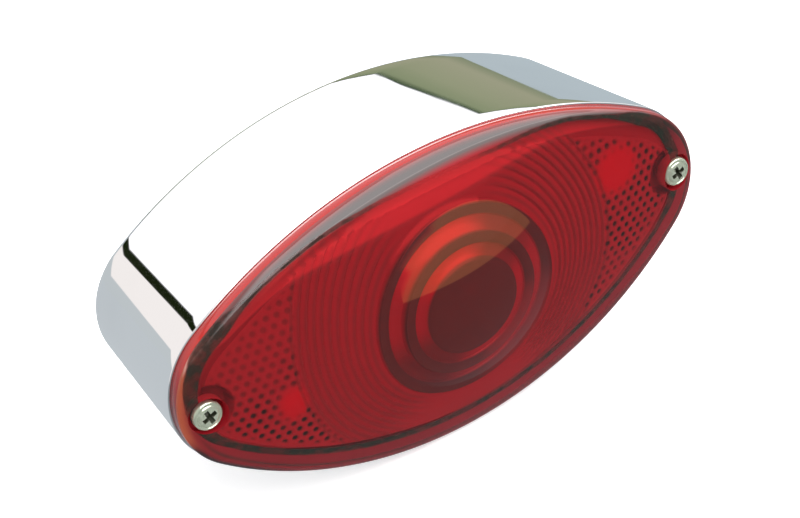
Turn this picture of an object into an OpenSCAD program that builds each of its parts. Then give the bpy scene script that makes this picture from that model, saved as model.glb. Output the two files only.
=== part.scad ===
// Motorcycle tail light with an oval "cat eye" lens.
//
// The lamp stands upright on its mounting face. +X runs along the long axis,
// +Z is up and the lens looks along -Y. The origin is the centre of the flat
// mounting face on the line through the lens screws and the bulb.
//
// Every part is drawn in a lamp frame whose Z is the distance in front of the
// mounting face, and in_place() turns that frame to face -Y.

/* [Housing] */
// Overall length of the oval rim
body_length = 150; // [146:0.5:154]
// Height of the rim's top arc above the screw line
top_rise = 37; // [36:0.5:38]
// Depth of the rim's bottom arc below the screw line
bottom_drop = 42; // [41:0.5:43]
// Radius of the rim's rounded tips
tip_radius = 21.5; // [21:0.25:22]
// Distance from the mounting face to the lens joint
body_depth = 48; // [47.5:0.25:50]
// Size of the back outline as a share of the rim outline
back_scale = 0.934; // [0.925:0.001:0.945]
// Thickness of the cast walls
wall = 2.4; // [2.2:0.1:2.6]
// Radius of the rounded back edge
back_edge_radius = 2.6; // [1.5:0.1:3]

/* [Lens] */
// How far the lens edge sits inside the rim outline
lens_inset = 0.4; // [0.3:0.1:0.8]
// Height of the lens's straight edge
lens_edge = 4.7; // [4.2:0.1:5]
// Rise of the crown above the straight edge
crown_rise = 8.1; // [7.5:0.1:9]
// Power of the crown curve, 2 is a parabola
crown_power = 2.1; // [2:0.05:2.5]
// Thickness of the lens shell
lens_thickness = 2.8; // [2.4:0.1:3]
// Radius of the raised bullseye
bullseye_radius = 23.5; // [22:0.5:24.5]
// Rise of the bullseye above the crown
bullseye_rise = 3.8; // [3:0.1:4.5]

/* [Lens screws] */
// Nominal diameter of the lens screws
lens_screw_d = 4; // [4]
// Distance of each lens screw from the tip of the rim
lens_screw_inset = 6.8; // [6.6:0.1:7]
// Diameter of the pan head
lens_head_d = 7.5; // [7:0.1:8]
// Height of the pan head
lens_head_h = 2.3; // [2:0.1:2.6]

/* [Mounting] */
// Nominal diameter of the two mounting studs
stud_d = 6; // [6]
// Distance between the mounting studs
stud_spacing = 50; // [46:1:54]
// Length of stud that stands out of the mounting face
stud_length = 22; // [16:1:30]
// Length of the wires behind the mounting face
wire_length = 46; // [30:1:60]

/* [Bulb] */
// Diameter of the glass globe
globe_d = 25; // [24:0.5:26]
// Diameter of the bayonet cap
cap_d = 15; // [15]
// Length of the bulb from its contacts to the tip of the glass
bulb_length = 46.4; // [45:0.2:47]
// Travel of the bulb against its contact spring
bulb_travel = 2.2; // [1.6:0.1:2.2]
// Angle that the bulb turns from its locked place to its release slots
bulb_turn = 22; // [18:1:26]

/* [Plate window] */
// Length of the licence-plate window
window_length = 48; // [40:1:54]
// Width of the licence-plate window
window_width = 16; // [12:1:16]

/* [Hidden] */
$fn = 64;

// Gap between parts that touch but are separate
gap = 0.05;
// Radial clearance of a screw in its threaded hole
thread_gap = 0.04;
// Amount by which a cut runs past the surface it opens
over = 1;
// Thickness of the slices that the cast shells are hulled from
slice_t = 0.02;

half_length = body_length / 2;
screw_x = half_length - lens_screw_inset;

// Housing levels, all distances in front of the mounting face
rim_step = 1.0;
rim_lip = 1.2;
boss_radius = 4.3;
boss_base = body_depth - 20;
boss_top = body_depth - 2;
plate_level = 16;
plate_t = 0.8;
pillar_x = 38;
pillar_radius = 3.6;
pillar_screw_d = 3;
pillar_hole_base = 7;
outlet_radius = 6.05;
outlet_recess_radius = 9.5;
outlet_recess = 1.3;
stud_boss_radius = 5.5;
stud_boss_top = 9.4;
stud_seat = 8.4;
stud_root_radius = 3.4;
stud_root_proud = 0.3;

// Lens levels
skirt_inset = 3.0;
skirt_t = 1.6;
skirt_depth = 4;
seat_radius = 4.7;
seat_level = body_depth + 3.7;
seat_boss_radius = 3.75;
washer_t = 0.5;
head_level = seat_level + gap + washer_t;
screw_tip = body_depth - 12;

// Socket and bulb levels
socket_radius = 8.4;
socket_bore = 7.65;
socket_base = 3.5;
socket_lip = 0.8;
socket_top = 27;
socket_hole = 5;
flange_level = plate_level + plate_t + gap;
flange_radius = 13.5;
carrier_level = 9.6;
carrier_t = 1.5;
button_rise = 0.45;
contact_offset = 3.2;
tip_level = carrier_level + carrier_t + button_rise + gap;
insulator_level = tip_level + 0.6;
cap_level = insulator_level + 1.0;
cap_top = socket_top + 1.2;
globe_tip = tip_level + bulb_length;
globe_centre = globe_tip - globe_d / 2;
glass_t = 0.6;
pin_level = 20;
pin_angle = 40;
pin_step = 3;
pin_radius = 1;
pin_root = 6.85;
pin_reach = 8.35;
slot_play = 0.15;
filament_level = globe_centre - 1;

// Licence-plate window levels
window_base = 25;
window_margin = 2.4;
window_t = 2;

// ---- Oval outline: two big arcs joined by two tip arcs ----

// Radius of the arc that rises by "rise" and is tangent to both tip arcs
function big_radius(rise) =
    (pow(half_length - tip_radius, 2) + pow(rise, 2) - pow(tip_radius, 2))
    / (2 * (rise - tip_radius));

// Angle at which the tip arc meets the big arc
function joint_angle(rise) = atan2(big_radius(rise) - rise, half_length - tip_radius);

function arc(centre, radius, from, to, steps) = [
    for (i = [0 : steps - 1])
        let (a = from + (to - from) * i / steps)
        centre + radius * [cos(a), sin(a)]
];

// Points of the oval, moved inwards by "inset"
function oval_points(inset = 0) =
    let (
        tip = half_length - tip_radius,
        tip_r = tip_radius - inset,
        top_r = big_radius(top_rise),
        low_r = big_radius(bottom_drop),
        top_a = joint_angle(top_rise),
        low_a = joint_angle(bottom_drop)
    )
    concat(
        arc([tip, 0], tip_r, -low_a, top_a, 12),
        arc([0, top_rise - top_r], top_r - inset, top_a, 180 - top_a, 20),
        arc([-tip, 0], tip_r, 180 - top_a, 180 + low_a, 12),
        arc([0, low_r - bottom_drop], low_r - inset, 180 + low_a, 360 - low_a, 20)
    );

// Size of the housing's outline at a level, as a share of the rim's
function taper(level) = back_scale + (1 - back_scale) * level / body_depth;

// Height of the crown's outer surface at a share k of the way to the edge
function crown_level(k) =
    body_depth + lens_edge + crown_rise * (1 - pow(k, crown_power));

// ---- Helpers ----

// Turns the lamp frame so that the lens looks along -Y
module in_place() {
    rotate([90, 0, 0])
        children();
}

module oval_slice(level, inset = 0, share = 1) {
    translate([0, 0, level])
        linear_extrude(slice_t)
            scale(share)
                polygon(oval_points(inset));
}

module oval_ring(level, height, inset, width) {
    translate([0, 0, level])
        linear_extrude(height)
            difference() {
                polygon(oval_points(inset));
                polygon(oval_points(inset + width));
            }
}

// Tapered solid that follows the housing's outside, moved inwards
module tapered_solid(low, high, inset) {
    hull() {
        oval_slice(low, inset, taper(low));
        oval_slice(high - slice_t, inset, taper(high));
    }
}

module disc(level, height, radius) {
    translate([0, 0, level])
        cylinder(h = height, r = radius);
}

module ring(level, height, outer, inner) {
    difference() {
        disc(level, height, outer);
        disc(level - over, height + 2 * over, inner);
    }
}

module both_sides(x) {
    for (side = [-1, 1])
        translate([side * x, 0, 0])
            children();
}

function unit(v) = v / norm(v);

// Round tube along a list of points; "side" is never parallel to the path
module tube(path, radius, side, facets = 8) {
    last = len(path) - 1;
    frames = [
        for (i = [0 : last])
            let (
                t = unit(path[min(i + 1, last)] - path[max(i - 1, 0)]),
                u = unit(cross(t, side))
            )
            [u, cross(t, u)]
    ];
    points = [
        for (i = [0 : last], j = [0 : facets - 1])
            let (a = 360 * j / facets)
            path[i] + radius * (cos(a) * frames[i][0] + sin(a) * frames[i][1])
    ];
    walls = [
        for (i = [0 : last - 1], j = [0 : facets - 1])
            let (
                a = i * facets + j,
                b = i * facets + (j + 1) % facets
            )
            each [[a, a + facets, b + facets], [a, b + facets, b]]
    ];
    near = [for (j = [0 : facets - 1]) j];
    far = [for (j = [facets - 1 : -1 : 0]) last * facets + j];
    polyhedron(points, concat(walls, [near, far]));
}

function coil_points(radius, height, turns, steps) = [
    for (i = [0 : turns * steps])
        let (a = 360 * i / steps)
        [radius * cos(a), radius * sin(a), height * i / (turns * steps)]
];

// ---- Housing ----

module housing_outside() {
    hull() {
        oval_slice(0, back_edge_radius, back_scale);
        oval_slice(0.3 * back_edge_radius, 0.29 * back_edge_radius, back_scale);
        oval_slice(back_edge_radius, 0, taper(back_edge_radius));
        oval_slice(body_depth - slice_t);
    }
}

module window_block(margin, base_margin) {
    translate([
        -window_length / 2 - margin,
        -bottom_drop - over,
        window_base - base_margin
    ])
        cube([
            window_length + 2 * margin,
            bottom_drop - tip_radius,
            window_width + 2 * base_margin
        ]);
}

module housing() {
    color("gainsboro")
        in_place()
        difference() {
            union() {
                difference() {
                    housing_outside();
                    tapered_solid(wall, body_depth + over, wall);
                    window_block(0, 0);
                }
                both_sides(screw_x)
                    disc(boss_base, boss_top - boss_base, boss_radius);
                both_sides(pillar_x)
                    disc(wall - gap, plate_level - gap - wall, pillar_radius);
                both_sides(stud_spacing / 2)
                    disc(wall - gap, stud_boss_top - wall, stud_boss_radius);
            }
            // Step in the rim that holds the gasket
            translate([0, 0, body_depth - rim_step])
                linear_extrude(rim_step + over)
                    polygon(oval_points(rim_lip));
            both_sides(screw_x)
                disc(boss_base + 2, boss_top, lens_screw_d / 2 + thread_gap);
            both_sides(pillar_x)
                disc(pillar_hole_base, plate_level, pillar_screw_d / 2 + thread_gap);
            both_sides(stud_spacing / 2)
                disc(-over, stud_seat + over, stud_root_radius + thread_gap);
            disc(-over, wall + 2 * over, outlet_radius);
            disc(-over, outlet_recess + over, outlet_recess_radius);
        }
}

// ---- Lens ----

// Extra height of the bullseye at a distance from its centre
function bullseye_level(radius) =
    bullseye_rise * max(0, 1 - pow(radius / bullseye_radius, 2));

// One ring of the crown: circles up to the bullseye's edge at share 0, then
// shapes that blend into the oval at share 1. "drop" lowers the whole ring.
function crown_ring(share, inset, drop) = [
    for (edge = oval_points(inset))
        let (
            reach = norm(edge),
            circle = bullseye_radius * edge / reach,
            p = share < 0 ? circle * (1 + share) : circle + (edge - circle) * share,
            k = norm(p) / (reach + inset - lens_inset)
        )
        [p[0], p[1], crown_level(k) + bullseye_level(norm(p)) - drop]
];

function level_ring(level, inset) = [
    for (p = oval_points(inset)) [p[0], p[1], level]
];

// Centre of a ring of points
function middle(ring) = [0, 0, 1] * ring[0][2];

// Closed solid through a list of rings, with a fan of triangles at both ends
module ring_loft(rings) {
    count = len(rings[0]);
    last = len(rings) - 1;
    walls = [
        for (i = [0 : last - 1], j = [0 : count - 1])
            let (
                a = i * count + j,
                b = i * count + (j + 1) % count
            )
            each [[a, b + count, a + count], [a, b, b + count]]
    ];
    hub = count * (last + 1);
    near = [for (j = [0 : count - 1]) [hub, (j + 1) % count, j]];
    far = [
        for (j = [0 : count - 1])
            [hub + 1, last * count + j, last * count + (j + 1) % count]
    ];
    polyhedron(
        concat([for (r = rings) each r], [middle(rings[0]), middle(rings[last])]),
        concat(walls, near, far)
    );
}

module lens_shell() {
    shares = [-0.85, -0.55, -0.25, 0, 0.12, 0.35, 0.6, 0.82];
    inner = skirt_inset + skirt_t;
    top = body_depth + lens_edge;
    ring_loft(concat(
        [for (s = shares) crown_ring(s, lens_inset, 0)],
        [
            crown_ring(0.97, lens_inset, 0),
            level_ring(top - 0.4, lens_inset + 0.15),
            level_ring(top - 1.2, lens_inset),
            level_ring(body_depth + gap, lens_inset),
            level_ring(body_depth + gap, skirt_inset),
            level_ring(body_depth - skirt_depth, skirt_inset),
            level_ring(body_depth - skirt_depth, inner),
            level_ring(top - lens_thickness, inner)
        ],
        [for (i = [len(shares) - 1 : -1 : 0]) crown_ring(shares[i], inner, lens_thickness)]
    ));
}

module lens() {
    column_base = boss_top + 2 * gap;
    pad_shift = 1.2;
    pad_radius = seat_radius + 1.1;
    pad_base = body_depth + 1.2;
    pad_top = seat_level + 1.2;
    color("firebrick")
        in_place()
        difference() {
            union() {
                difference() {
                    lens_shell();
                    // Room in the skirt for the housing's screw bosses
                    both_sides(screw_x)
                        disc(0, column_base, seat_radius);
                }
                // Solid columns that carry the screw holes
                both_sides(screw_x)
                    disc(column_base, pad_base + 1 - column_base, seat_boss_radius);
                // Pads that close the lens below each screw seat, set towards the middle
                both_sides(screw_x - pad_shift)
                    disc(pad_base, pad_top - pad_base, pad_radius);
            }
            both_sides(screw_x)
                disc(0, seat_level + over, lens_screw_d / 2 + 0.25);
            both_sides(screw_x)
                disc(seat_level, crown_rise, seat_radius);
        }
}

module lens_gasket() {
    color("dimgray")
        in_place()
        oval_ring(
            body_depth - rim_step + gap, rim_step - gap, rim_lip + gap, wall - rim_lip - gap
        );
}

// ---- Lens screws ----

// Pan head with a cross recess, standing on its underside
module cross_head(diameter, height) {
    recess = 0.62 * height;
    blade = 0.17 * diameter;
    reach = 0.5 * diameter;
    dome_r = (pow(diameter / 2, 2) + pow(height, 2)) / (2 * height) + 0.35 * height;
    difference() {
        intersection() {
            cylinder(h = height, d = diameter);
            translate([0, 0, height - dome_r])
                sphere(r = dome_r, $fn = 96);
        }
        for (turn = [0, 90])
            rotate(turn)
                translate([-reach / 2, -blade / 2, height - recess])
                    cube([reach, blade, height]);
    }
}

module screw(level, diameter, head_diameter, head_height, tip) {
    disc(tip, level - tip + head_height / 3, diameter / 2);
    translate([0, 0, level])
        cross_head(head_diameter, head_height);
}

module lens_screw(side) {
    color("silver")
        in_place()
        translate([side * screw_x, 0, 0])
            screw(head_level + gap, lens_screw_d, lens_head_d, lens_head_h, screw_tip);
}

module lens_screw_left() {
    lens_screw(-1);
}

module lens_screw_right() {
    lens_screw(1);
}

module screw_washer(side) {
    color("black")
        in_place()
        translate([side * screw_x, 0, 0])
            ring(seat_level + gap, washer_t - gap, lens_head_d / 2, lens_screw_d / 2 + gap);
}

module screw_washer_left() {
    screw_washer(-1);
}

module screw_washer_right() {
    screw_washer(1);
}

// ---- Bulb plate and socket ----

module reflector() {
    flange = 5.5;
    plate_inset = wall + 1.2;
    color("whitesmoke")
        in_place()
        difference() {
            tapered_solid(plate_level, plate_level + flange, plate_inset);
            tapered_solid(plate_level + plate_t, plate_level + flange + over,
                plate_inset + plate_t);
            // Clearance for the screw bosses when the plate is dropped in
            both_sides(screw_x)
                disc(0, body_depth, boss_radius + 0.5);
            disc(0, body_depth, socket_radius + 0.5);
            both_sides(pillar_x)
                disc(0, body_depth, pillar_screw_d / 2 + 0.2);
            for (turn = [90, 270])
                rotate(turn)
                    translate([(socket_radius + flange_radius) / 2, 0, 0])
                        disc(0, body_depth, 1.2 + thread_gap);
        }
}

module reflector_screws() {
    color("lightgray")
        in_place()
        both_sides(pillar_x)
            screw(plate_level + plate_t + gap, pillar_screw_d, 5.6, 1.9, pillar_hole_base + 1);
}

// Part of a ring between two angles, that cuts through the socket's wall
module wall_cut(low, high, from, to) {
    translate([0, 0, low])
        rotate([0, 0, from])
            rotate_extrude(angle = to - from)
                translate([socket_bore - over, 0])
                    square([socket_radius - socket_bore + 2 * over, high - low]);
}

// Slot for one bayonet pin: a way in, then a turn to the locked place
module pin_slot(level) {
    half_height = pin_radius + slot_play;
    half_angle = asin(half_height / socket_radius);
    low = level - half_height - bulb_travel;
    wall_cut(low, level + half_height, -half_angle, bulb_turn + half_angle);
    wall_cut(level, socket_top + over, bulb_turn - half_angle, bulb_turn + 0.98 * half_angle);
}

module bulb_socket() {
    color("lightsteelblue")
        in_place()
        difference() {
            union() {
                disc(socket_base, socket_top - socket_base, socket_radius);
                disc(flange_level, 1, flange_radius);
            }
            disc(socket_base + socket_lip, socket_top, socket_bore);
            disc(0, socket_top, socket_hole);
            rotate(pin_angle)
                pin_slot(pin_level);
            rotate(pin_angle + 180)
                pin_slot(pin_level - pin_step);
            for (turn = [90, 270])
                rotate(turn)
                    translate([(socket_radius + flange_radius) / 2, 0, 0])
                        disc(0, socket_top, 1.2 + thread_gap);
        }
}

module socket_rivets() {
    head_r = 2.1;
    head_h = 0.8;
    color("silver")
        in_place()
        for (turn = [90, 270])
            rotate(turn)
                translate([(socket_radius + flange_radius) / 2, 0, 0]) {
                    disc(plate_level - gap, plate_t + 1 + 3 * gap, 1.2);
                    disc(plate_level - gap - head_h, head_h, head_r);
                    disc(flange_level + 1 + gap, head_h, head_r);
                }
}

// ---- Spring contacts ----

module contact_carrier() {
    color("peru")
        in_place()
        difference() {
            disc(carrier_level, carrier_t, socket_bore - 0.15);
            both_sides(contact_offset)
                disc(0, socket_top, 0.9 + thread_gap);
        }
}

module contact_buttons() {
    color("gold")
        in_place()
        both_sides(contact_offset) {
            disc(carrier_level - 0.6, carrier_t + 0.6 + gap, 0.9);
            disc(carrier_level + carrier_t, button_rise, 1.9);
            disc(carrier_level - 0.6, 0.5, 1.5);
        }
}

module contact_spring() {
    wire_r = 0.35;
    base = socket_base + socket_lip + gap + wire_r;
    top = carrier_level - 2 * gap - wire_r;
    color("silver")
        in_place()
        translate([0, 0, base])
            tube(coil_points(6.4, top - base, 4, 20), wire_r, [0, 0, 1]);
}

// ---- Bulb ----

module bulb_cap() {
    color("goldenrod")
        in_place()
        difference() {
            disc(cap_level, cap_top - cap_level, cap_d / 2);
            disc(cap_level - over, socket_top, cap_d / 2 - 0.6);
            for (turn = [0, 180])
                rotate(pin_angle + turn)
                    translate([0, 0, pin_level - pin_step * turn / 180])
                        rotate([0, 90, 0])
                            cylinder(h = cap_d, r = pin_radius + thread_gap);
        }
}

module bulb_pins() {
    color("goldenrod")
        in_place()
        for (turn = [0, 180])
            rotate(pin_angle + turn)
                translate([pin_root, 0, pin_level - pin_step * turn / 180])
                    rotate([0, 90, 0])
                        cylinder(h = pin_reach - pin_root, r = pin_radius);
}

module bulb_insulator() {
    color("black")
        in_place()
        difference() {
            union() {
                disc(insulator_level, 1.0 - gap, cap_d / 2 - 0.4);
                disc(insulator_level, 2.6, cap_d / 2 - 0.7);
            }
            both_sides(contact_offset)
                disc(0, socket_top, 0.5 + thread_gap);
        }
}

module bulb_tips() {
    color("silver")
        in_place()
        both_sides(contact_offset) {
            disc(tip_level, insulator_level - tip_level - gap, 1.6);
            disc(insulator_level - 2 * gap, 3, 0.5);
        }
}

// Outline of the globe and neck on one side of the bulb's axis
module globe_profile(lower) {
    neck_r = cap_d / 2 - 0.75 - lower;
    globe_r = globe_d / 2 - lower;
    union() {
        intersection() {
            translate([0, globe_centre])
                circle(r = globe_r, $fn = 96);
            translate([0, cap_level])
                square([globe_d, globe_tip]);
        }
        translate([0, cap_level + 4])
            square([neck_r, globe_centre - cap_level - 4]);
    }
}

module bulb_glass() {
    color("lightcyan", 0.5)
        in_place()
        rotate_extrude($fn = 96)
            difference() {
                globe_profile(0);
                difference() {
                    globe_profile(glass_t);
                    square([globe_d, cap_level + 4.8]);
                }
            }
}

module bulb_stem() {
    base = cap_level + 4.9;
    color("lightcyan", 0.5)
        in_place() {
            disc(base, 1, cap_d / 2 - 1.45);
            disc(base + 0.9, cap_top - base + 2, 2.2);
        }
}

// Ends of the two filaments along X, and their places across it
filament_half = 3;
filament_y = [-2, 2];

module filament_supports() {
    color("silver")
        in_place()
        for (side = [-1, 1], y = filament_y)
            tube(
                [
                    [side * 1.2, sign(y) * 0.9, cap_top + 4.5],
                    [side * 1.2, sign(y) * 0.9, filament_level - 4],
                    [side * filament_half, y, filament_level - 2.5],
                    [side * filament_half, y, filament_level + 0.4]
                ],
                0.25, [0, 1, 0], 6
            );
}

module filament(y, coil_r) {
    color("dimgray")
        in_place()
        translate([-filament_half + 0.4, y, filament_level])
            rotate([0, 90, 0])
                tube(
                    coil_points(coil_r, 2 * filament_half - 0.8, 7, 10),
                    0.12, [0, 0, 1], 5
                );
}

module filament_tail() {
    filament(filament_y[0], 0.4);
}

module filament_brake() {
    filament(filament_y[1], 0.55);
}

// ---- Licence-plate window ----

module plate_window() {
    margin = window_margin;
    color("white", 0.5)
        in_place() {
            intersection() {
                window_block(margin, margin);
                difference() {
                    tapered_solid(window_base - 8, window_base + window_width + 6,
                        wall + 0.6);
                    tapered_solid(window_base - 9, window_base + window_width + 7,
                        wall + 0.6 + window_t);
                }
            }
            intersection() {
                window_block(-0.15, -0.15);
                difference() {
                    tapered_solid(window_base - 8, window_base + window_width + 6, 0.3);
                    tapered_solid(window_base - 9, window_base + window_width + 7,
                        wall + 0.8);
                }
            }
        }
}

module window_gasket() {
    color("dimgray")
        in_place()
        difference() {
            intersection() {
                window_block(window_margin, window_margin);
                difference() {
                    tapered_solid(window_base - 8, window_base + window_width + 6,
                        wall + gap);
                    tapered_solid(window_base - 9, window_base + window_width + 7,
                        wall + 0.6 - gap);
                }
            }
            window_block(0, 0);
        }
}

// ---- Mounting studs, wires ----

module mounting_studs() {
    point = 1;
    color("lightgray")
        in_place()
        both_sides(stud_spacing / 2) {
            disc(-stud_length + point, stud_length - point, stud_d / 2);
            // Thicker root that is held in the housing's boss
            disc(-stud_root_proud, stud_root_proud + stud_seat - 2 * gap, stud_root_radius);
            translate([0, 0, -stud_length])
                cylinder(h = point, r1 = stud_d / 2 - point, r2 = stud_d / 2);
        }
}

// Places of the wires across the outlet, as an angle and a distance
wire_radius = 0.9;
wire_places = [[0, 3.2], [180, 3.2], [270, 3.9]];

function wire_place(index) =
    wire_places[index][1] * [cos(wire_places[index][0]), sin(wire_places[index][0])];

module wire_grommet() {
    color("black")
        in_place()
        difference() {
            union() {
                disc(0.1, outlet_recess - 0.1 - gap, 8.6);
                disc(0.1, wall + 0.7, outlet_radius - gap);
                disc(wall + gap, 0.8, 7.6);
            }
            for (i = [0 : 2])
                translate(wire_place(i))
                    disc(-over, 2 * wall + 2 * over, wire_radius + gap);
        }
}

// Wire that leaves straight back and sags by "sag" at its end
module wire(index, front, sag) {
    steps = 14;
    place = wire_place(index);
    straight = -2;
    tail = [
        for (i = [1 : steps])
            let (s = i / steps)
            [
                place[0] * (1 + 1.4 * s),
                place[1] * (1 + 0.3 * s) - sag * s * s,
                straight - (wire_length + straight) * s
            ]
    ];
    end = tail[steps - 1];
    in_place()
        tube(
            concat(
                [[place[0], place[1], front], [place[0], place[1], straight]],
                tail,
                [[end[0], end[1], end[2] - wire_end]]
            ),
            wire_radius, [1, 0, 0], 12
        );
}

wire_sag = 10;
// Straight end of each wire, in front of its terminal
wire_end = 0.6;
wire_front = carrier_level - bulb_travel - 0.8;

module wire_tail() {
    color("saddlebrown")
        wire(0, wire_front, wire_sag);
}

module wire_brake() {
    color("red")
        wire(1, wire_front, wire_sag);
}

module wire_ground() {
    color("black")
        wire(2, socket_base + socket_lip, wire_sag);
}

module bullet_terminals() {
    barrel = 7;
    color("gold")
        in_place()
        for (i = [0 : 2])
            translate([
                wire_place(i)[0] * 2.4,
                wire_place(i)[1] * 1.3 - wire_sag,
                -wire_length - wire_end - gap - barrel - 3.5
            ]) {
                disc(3.5, barrel, 1.6);
                disc(1.2, 2.4, 1.1);
                translate([0, 0, 1.4])
                    sphere(r = 1.7);
            }
}

housing();
lens();
lens_gasket();
lens_screw_left();
lens_screw_right();
screw_washer_left();
screw_washer_right();
reflector();
reflector_screws();
bulb_socket();
socket_rivets();
contact_carrier();
contact_buttons();
contact_spring();
bulb_cap();
bulb_pins();
bulb_insulator();
bulb_tips();
bulb_glass();
bulb_stem();
filament_supports();
filament_tail();
filament_brake();
plate_window();
window_gasket();
mounting_studs();
wire_grommet();
wire_tail();
wire_brake();
wire_ground();
bullet_terminals();
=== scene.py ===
"""Looks of an oval motorcycle tail light: chromed shell, red lens, screws, bulb, wires.

Lengths in the tables below are millimetres in a lamp frame: x along the long axis, z up and
"level" the distance in front of the mounting face. place() turns them into the row frame, where
the lens looks along -Y.
"""

import math

import bmesh
import bpy
import numpy as np
from mathutils import Matrix, Vector


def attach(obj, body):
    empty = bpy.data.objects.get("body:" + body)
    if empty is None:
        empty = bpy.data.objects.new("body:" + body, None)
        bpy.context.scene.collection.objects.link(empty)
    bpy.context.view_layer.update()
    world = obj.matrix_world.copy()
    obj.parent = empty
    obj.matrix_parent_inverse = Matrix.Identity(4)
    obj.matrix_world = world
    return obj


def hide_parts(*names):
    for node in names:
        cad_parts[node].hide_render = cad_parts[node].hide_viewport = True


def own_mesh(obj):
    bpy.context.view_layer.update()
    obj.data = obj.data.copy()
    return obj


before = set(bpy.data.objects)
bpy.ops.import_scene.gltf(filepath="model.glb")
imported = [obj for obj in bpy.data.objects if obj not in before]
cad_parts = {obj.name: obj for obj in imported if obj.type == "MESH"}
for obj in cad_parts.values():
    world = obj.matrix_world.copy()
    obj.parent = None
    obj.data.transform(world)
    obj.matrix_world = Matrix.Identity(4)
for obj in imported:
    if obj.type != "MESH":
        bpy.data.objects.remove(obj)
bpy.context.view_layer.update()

MM = 0.001

# ---- Measures shared with the CAD, in mm ----

# Oval outline and shell of the housing
HALF_LENGTH = 75.0
TOP_RISE = 37.0
BOTTOM_DROP = 42.0
TIP_RADIUS = 21.5
DEPTH = 48.0
BACK_SCALE = 0.934
WALL = 2.4
BACK_ROUND = 2.6
LIP_ROUND = 0.45
RIM_LIP = 1.2
RIM_STEP = 1.0
FLOOR_FILLET = 2.0

# Posts and openings of the housing; WINDOW is two corners, OUTLET_RECESS a radius and a depth
SCREW_POST_RADIUS = 4.3
SCREW_POST_TOP = 46.0
PILLAR_X = 38.0
PILLAR_RADIUS = 3.6
PILLAR_TOP = 15.95
STUD_X = 25.0
STUD_POST_RADIUS = 5.5
STUD_POST_TOP = 9.4
OUTLET_RADIUS = 6.05
OUTLET_RECESS = (9.5, 1.3)
WINDOW = ((-24, -45, 25), (24, -24, 41))

# Lens
LENS_INSET = 0.4
LENS_BASE = 48.05
LENS_EDGE = 4.7
CROWN_RISE = 8.1
CROWN_POWER = 2.1
LENS_THICKNESS = 2.8
BULLSEYE_RADIUS = 23.5
BULLSEYE_RISE = 3.8
SHOULDER_WIDTH = 4.4
SKIRT_OUTER = 3.0
SKIRT_INNER = 4.6
SKIRT_BOTTOM = 44.0
INNER_CORNER = 7.1
INNER_CORNER_LEVEL = 51.0

# Screw seats in the lens, with the pad and the column below each
SCREW_X = 68.2
SEAT_RADIUS = 4.7
SEAT_LEVEL = 51.7
SCREW_HOLE = 2.25
PAD_LEVEL = 49.2
PAD_SHIFT = 1.2
PAD_RADIUS = 5.8
COLUMN_RADIUS = 3.75
COLUMN_BASE = 46.1

# Screws; WASHER is its outer and inner radius, then its underside and top above the seat
WASHER = (3.75, 2.05, 0.05, 0.5)
HEAD_LEVEL = 52.3
HEAD_RADIUS = 3.75
HEAD_HEIGHT = 2.3
SCREW_THREAD = 4.0
THREAD_PITCH = 0.7
SCREW_TIP = 36.0
PLATE_THREAD = 3.0
STUD_THREAD = 6.0

# Bulb plate and contact spring; PLATE_BEAD is (radius, rise) along the embossed ring
PLATE_LEVEL = 16.0
PLATE_T = 0.8
PLATE_INSET = 1.2
PLATE_BEND = 1.6
PLATE_BEAD = ((16.0, 0.0), (16.8, 0.35), (17.8, 0.35), (18.6, 0.0), (20.0, 0.0))
FLANGE_HEIGHT = 5.5
SOCKET_HOLE = 8.9
RIVET_Z = 10.95
SPRING_RADIUS = 6.4
SPRING_WIRE = 0.35
SPRING_LOW = 4.7
SPRING_HIGH = 9.15

# Studs
STUD_LENGTH = 22.0
STUD_ROOT_RADIUS = 3.4
STUD_ROOT_PROUD = 0.3

# Wires; WIRE_HOLES is (direction, distance) in the grommet, WIRES is (use, colour, front end)
WIRE_LENGTH = 46.0
WIRE_SAG = 10.0
WIRE_RADIUS = 0.9
WIRE_SPREAD = (1.4, 0.3)
WIRE_HOLES = ((0, 3.2), (180, 3.2), (270, 3.9))
WIRES = (("tail", "brown", 6.6), ("brake", "red", 6.6), ("ground", "black", 4.3))

# ---- Pattern moulded inside the lens, in mm: rings, then ribs, then reflex prisms ----
# RING_CENTRE is off the lamp's axis by (x, z); a plain patch is an ellipse (x, z, half widths)

RING_EDGES = (12.9, 15.8, 18.8, 22.1, 25.0)
RING_CENTRE = (0.66, -2.28)
RING_STEP = 0.3
RING_FADE = 14.0
RIB_START = 26.6
RIB_END = 46.0
RIB_PITCH = 1.88
RIB_DEPTH = 0.45
RIB_SLOPE = 0.7
PRISM_START = 44.0
PRISM_PITCH = 2.68
PRISM_TURN = -1.5
PRISM_SHIFT = (-0.79, 1.12)
PRISM_HEIGHT = 0.6
PLAIN_PATCHES = ((-47.3, -7.9, 3.8, 5.0), (50.2, 9.3, 7.2, 6.2))
DOT_RADIUS = 0.72

# ---- Where the lens shows its own wall as a painted dark line and where its painted sheen lies, in mm ----
# WALL_LINE is how far in the wall shows as a painted dark line, on an outline moved by WALL_SHIFT

WALL_LINE = 5.4
WALL_SHIFT = (1.69, -3.12)
CAP_CENTRE = (1.81, 2.92)
CAP_EDGE = (BULLSEYE_RADIUS - 2.8, BULLSEYE_RADIUS - 2.4)

# ---- Colours of the lens, with its painted light and shade ----

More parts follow.
